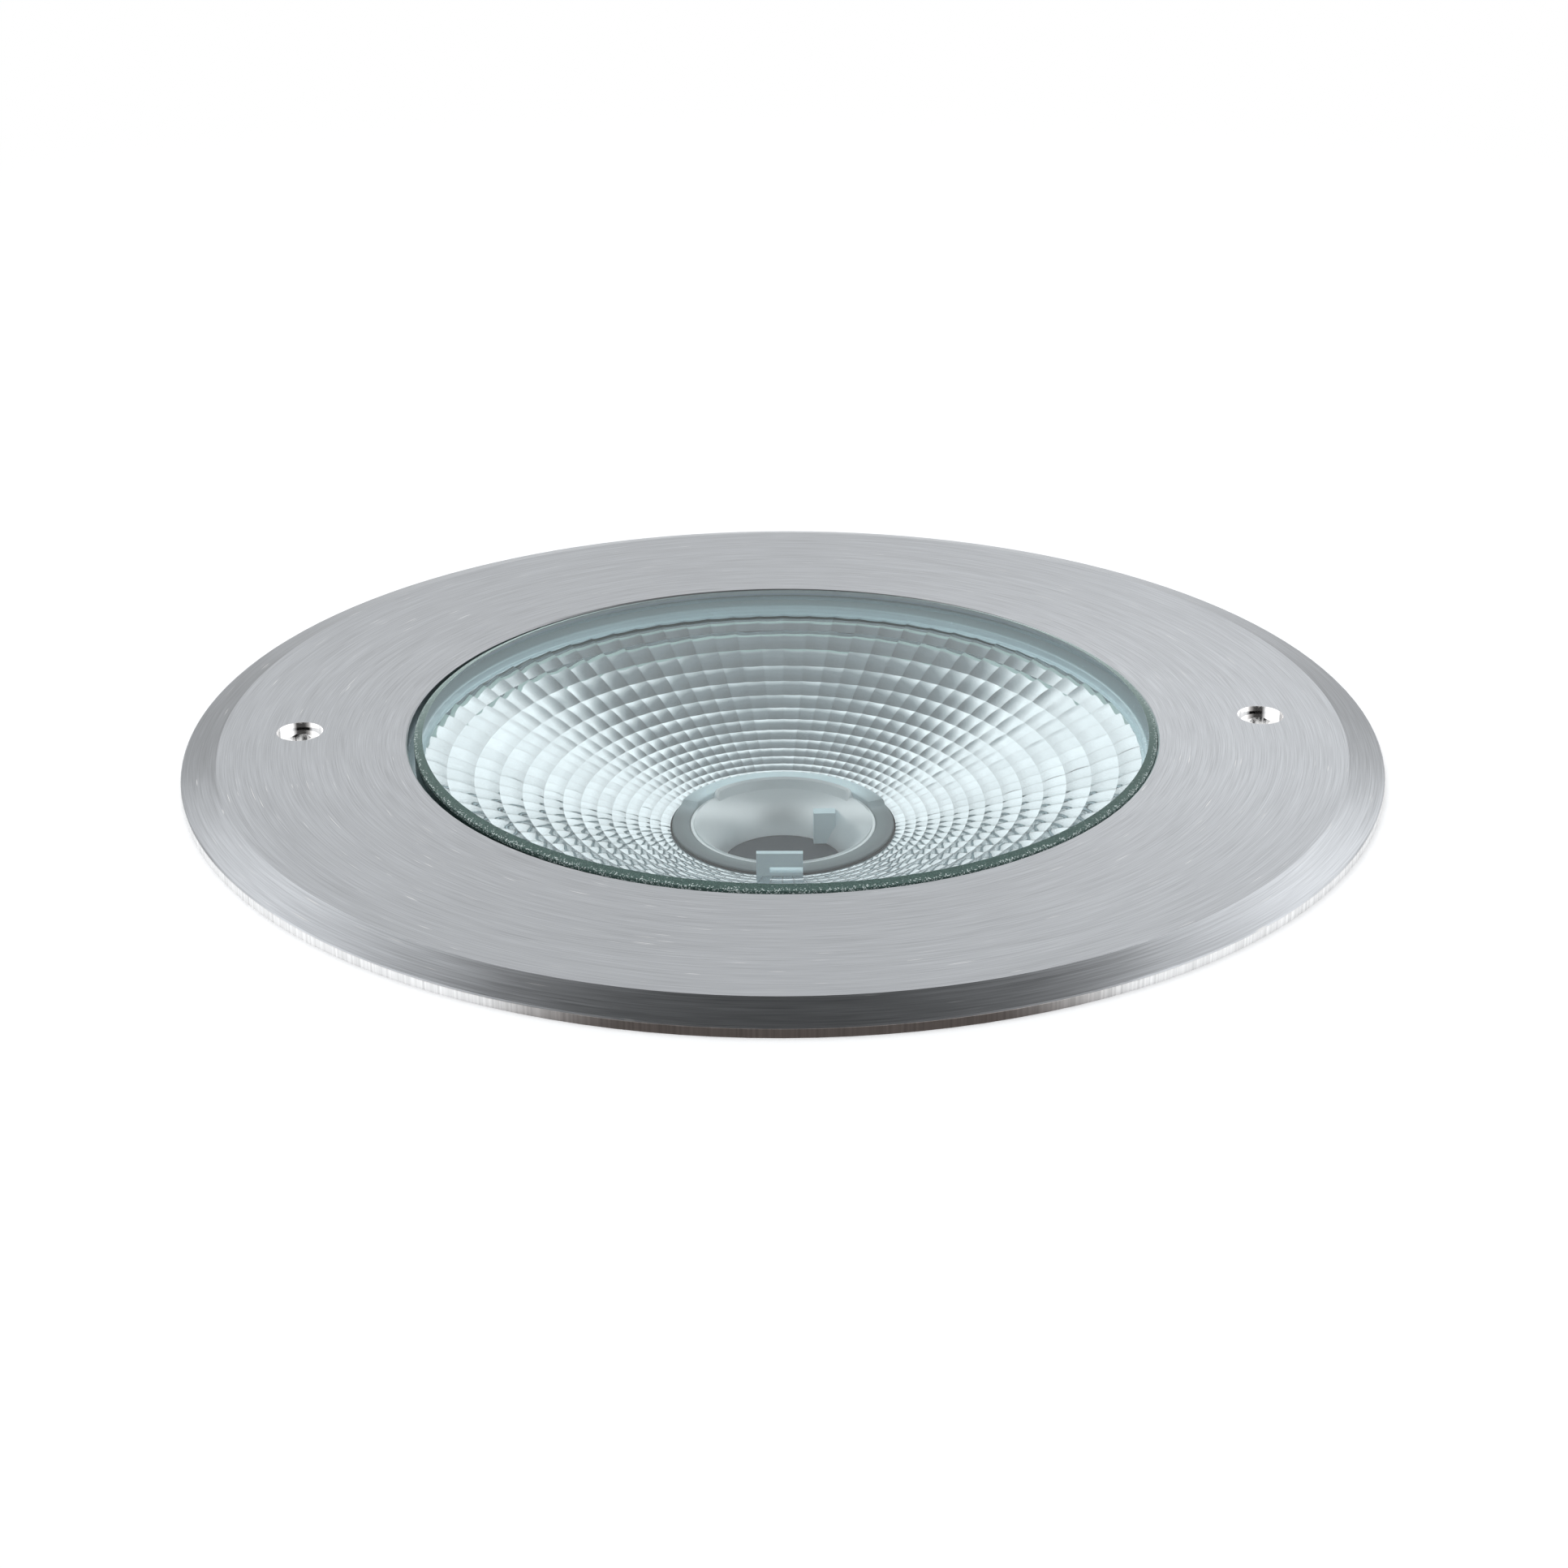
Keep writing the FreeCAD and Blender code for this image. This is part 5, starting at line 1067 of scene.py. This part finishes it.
class FinishHousing(bpy.types.Operator):
    """Finishes the finned housing, driver, gland and vent"""
    bl_idname = "well_light.housing"
    bl_label = "Housing"

    def execute(self, context):
        colours = context.scene.well_light_colours
        give(["lamp_housing"], moulded("powder_coat", colours.housing, rough=(0.42, 0.58), grain=0.55,
                                       cloud=35.0, relief=0.05, dust=0.12))
        give(["driver_case"], moulded("driver_plastic", (0.04, 0.04, 0.045), rough=(0.45, 0.6), grain=0.6,
                                      relief=0.04))
        give(["gland_body", "gland_nut", "gland_locknut", "vent_plug"],
             moulded("gland_nylon", (0.045, 0.045, 0.048), rough=(0.40, 0.55), grain=0.4, dust=0.1))
        return {"FINISHED"}


class FinishSleeve(bpy.types.Operator):
    """Finishes the sleeve that stays in the ground, and its inserts and plug"""
    bl_idname = "well_light.sleeve"
    bl_label = "Sleeve"

    def execute(self, context):
        colours = context.scene.well_light_colours
        plastic = moulded("sleeve_plastic", colours.sleeve, rough=(0.45, 0.62), grain=0.8, cloud=40.0,
                          relief=0.05, dust=0.10)
        give(["mounting_sleeve", "blank_plug"], plastic)
        give(["screw_inserts"], machined("turned_brass", (0.62, 0.42, 0.16), lines=2.5))
        return {"FINISHED"}


class FinishCoverScrews(bpy.types.Operator):
    """Polishes the two cover screws"""
    bl_idname = "well_light.cover_screws"
    bl_label = "Cover screws"

    def execute(self, context):
        polished = polished_material(context.scene.well_light_colours.polished)
        give(["left_cover_screw", "right_cover_screw"], polished)
        return {"FINISHED"}


# ---------------------------------------------------------------- stage

def studio_world():
    """White to the camera; to the object, a bright ring of walls under a darker ceiling."""
    world = bpy.data.worlds.new("studio")
    bpy.context.scene.world = world
    world.use_nodes = True
    tree = world.node_tree
    tree.nodes.clear()
    looking = tree.nodes.new("ShaderNodeTexCoord").outputs["Generated"]
    _, y, z = separate(tree, looking)
    height = plus(tree, times(tree, z, 0.5), 0.5)
    over_ring = ramp_node(tree, height, [(0.0, 0.5), (0.5, 0.5), (0.62, 0.65), (0.70, 1.05), (0.85, 1.1),
                                         (0.88, 0.5), (0.912, 0.10), (1.0, 0.10)])
    over_glass = ramp_node(tree, height, [
        (0.0, 0.9), (0.5, 1.0), (0.80, 1.15), (0.86, (0.56, 0.59, 0.60)), (0.905, (0.27, 0.30, 0.31)),
        (1.0, (0.22, 0.245, 0.255))])
    # The wall on the camera's side is dark.
    near = ramp_node(tree, plus(tree, times(tree, y, 0.5), 0.5),
                     [(0.0, 0.05), (0.07, 0.08), (0.16, 0.7), (0.28, 1.0)])
    walls = mix_colour(tree, any_ray(tree, "Transmission"), over_ring, over_glass)
    mirrored = add_node(tree, "ShaderNodeMix", {"Factor": 1.0, 6: walls, 7: near}, data_type="RGBA",
                        blend_type="MULTIPLY").outputs[2]
    lit = mix_colour(tree, any_ray(tree, "Glossy", "Transmission"), (0.62, 0.64, 0.66), mirrored)
    seen = mix_colour(tree, any_ray(tree, "Camera"), lit, WHITE)
    background = add_node(tree, "ShaderNodeBackground", {0: seen, 1: 1.0})
    output = tree.nodes.new("ShaderNodeOutputWorld")
    tree.links.new(background.outputs[0], output.inputs[0])


def floor_material():
    """White ground that keeps a soft shadow, and isn't there when looked at from below."""
    material, tree, shader = new_material("white_ground")
    grain = place_group(tree, "fine_grain", Grain_mm=2.0, Cloud_mm=80.0)
    feed(tree, shader, {
        "Base Color": shade_range(tree, grain.outputs["Tone"], (0.80, 0.80, 0.80), 0.99, 1.01),
        "Roughness": 0.9})
    lifted = add_node(tree, "ShaderNodeAddShader", {0: shader.outputs[0], 1: glow(tree, WHITE, 0.32)})
    radius, _, sine, _ = polar(tree, object_coordinates(tree))
    # In reflections, the ground straight in front of the object is dark, as behind a camera.
    in_front = times(tree, map_range(tree, sine, -0.86, -0.97, smooth=True), any_ray(tree, "Glossy"))
    mirrored = mix_shaders(tree, in_front, lifted.outputs[0], glow(tree, (0.10, 0.09, 0.085)))
    direct = any_ray(tree, "Camera", "Glossy", "Transmission")
    ground = mix_shaders(tree, direct, shader.outputs[0], mirrored)
    # Far off, it fades into the white behind it.
    far = times(tree, map_range(tree, radius, 0.25, 0.7, smooth=True), any_ray(tree, "Camera"))
    ground = mix_shaders(tree, far, ground, glow(tree, WHITE))
    under = tree.nodes.new("ShaderNodeNewGeometry").outputs["Backfacing"]
    show(tree, mix_shaders(tree, under, ground, see_through(tree)))
    return material


def ground_mesh(hole, reach, segments=128):
    """A wide flat disc with a round hole for the sleeve, facing up."""
    points, faces = [], []
    for radius in (hole, reach):
        for step in range(segments):
            angle = 2 * math.pi * step / segments
            points.append((radius * math.cos(angle), radius * math.sin(angle), 0.0))
    for step in range(segments):
        following = (step + 1) % segments
        faces.append((step, segments + step, segments + following, following))
    mesh = bpy.data.meshes.new("ground")
    mesh.from_pydata(points, [], faces)
    return mesh


class BuildStage(bpy.types.Operator):
    """Sets the camera, the light and the white ground"""
    bl_idname = "well_light.stage"
    bl_label = "Stage"

    def execute(self, context):
        scene = context.scene
        settings = scene.well_light_stage
        data = bpy.data.cameras.new("photo_camera")
        data.lens = settings.lens
        data.sensor_width = 36.0
        data.clip_start = 0.01
        camera = bpy.data.objects.new("photo_camera", data)
        camera.location = settings.camera_place
        camera.rotation_euler = Euler(settings.camera_turn)
        scene.collection.objects.link(camera)
        scene.camera = camera
        studio_world()
        light = bpy.data.lights.new("overhead", "AREA")
        light.shape = "DISK"
        light.size = settings.lamp_size
        light.energy = settings.lamp_power
        lamp = bpy.data.objects.new("overhead", light)
        lamp.location = settings.lamp_place
        lamp.rotation_euler = (-lamp.location).to_track_quat("-Z", "Y").to_euler()
        lamp.visible_glossy = False
        lamp.visible_transmission = False
        lamp.visible_camera = False
        scene.collection.objects.link(lamp)
        ground = bpy.data.objects.new("ground", ground_mesh(settings.floor_hole, settings.floor_reach))
        ground.data.materials.append(floor_material())
        scene.collection.objects.link(ground)
        scene.view_settings.view_transform = "Standard"
        return {"FINISHED"}


# ---------------------------------------------------------------- add-on

class WellLightPanel(bpy.types.Panel):
    """Lists the steps that finish the well light, and their settings"""
    bl_idname = "VIEW3D_PT_well_light"
    bl_label = "Well light"
    bl_space_type = "VIEW_3D"
    bl_region_type = "UI"
    bl_category = "Well Light"

    def draw(self, context):
        for step in STEPS:
            self.layout.operator(step.bl_idname)
        for settings, kind in SETTINGS.items():
            box = self.layout.box()
            for name in kind.__annotations__:
                box.prop(getattr(context.scene, settings), name)


STEPS = (FinishTrimRing, FinishGlass, MakeReflector, FinishOptic, FinishLightSource, FinishHousing,
         FinishSleeve, FinishCoverScrews, BuildStage)
SETTINGS = {"well_light_ring": RingSizes, "well_light_glass": GlassSizes,
            "well_light_reflector": ReflectorSizes, "well_light_optic": OpticSizes,
            "well_light_colours": FinishColours, "well_light_stage": StageSettings}


def register():
    for kind in (*SETTINGS.values(), *STEPS, WellLightPanel):
        bpy.utils.register_class(kind)
    for name, kind in SETTINGS.items():
        setattr(bpy.types.Scene, name, bpy.props.PointerProperty(type=kind))


def unregister():
    for name in SETTINGS:
        delattr(bpy.types.Scene, name)
    for kind in (WellLightPanel, *reversed(STEPS), *SETTINGS.values()):
        bpy.utils.unregister_class(kind)


def main():
    register()
    for step in STEPS:
        family, name = step.bl_idname.split(".")
        getattr(getattr(bpy.ops, family), name)()


if __name__ == "__main__":
    main()
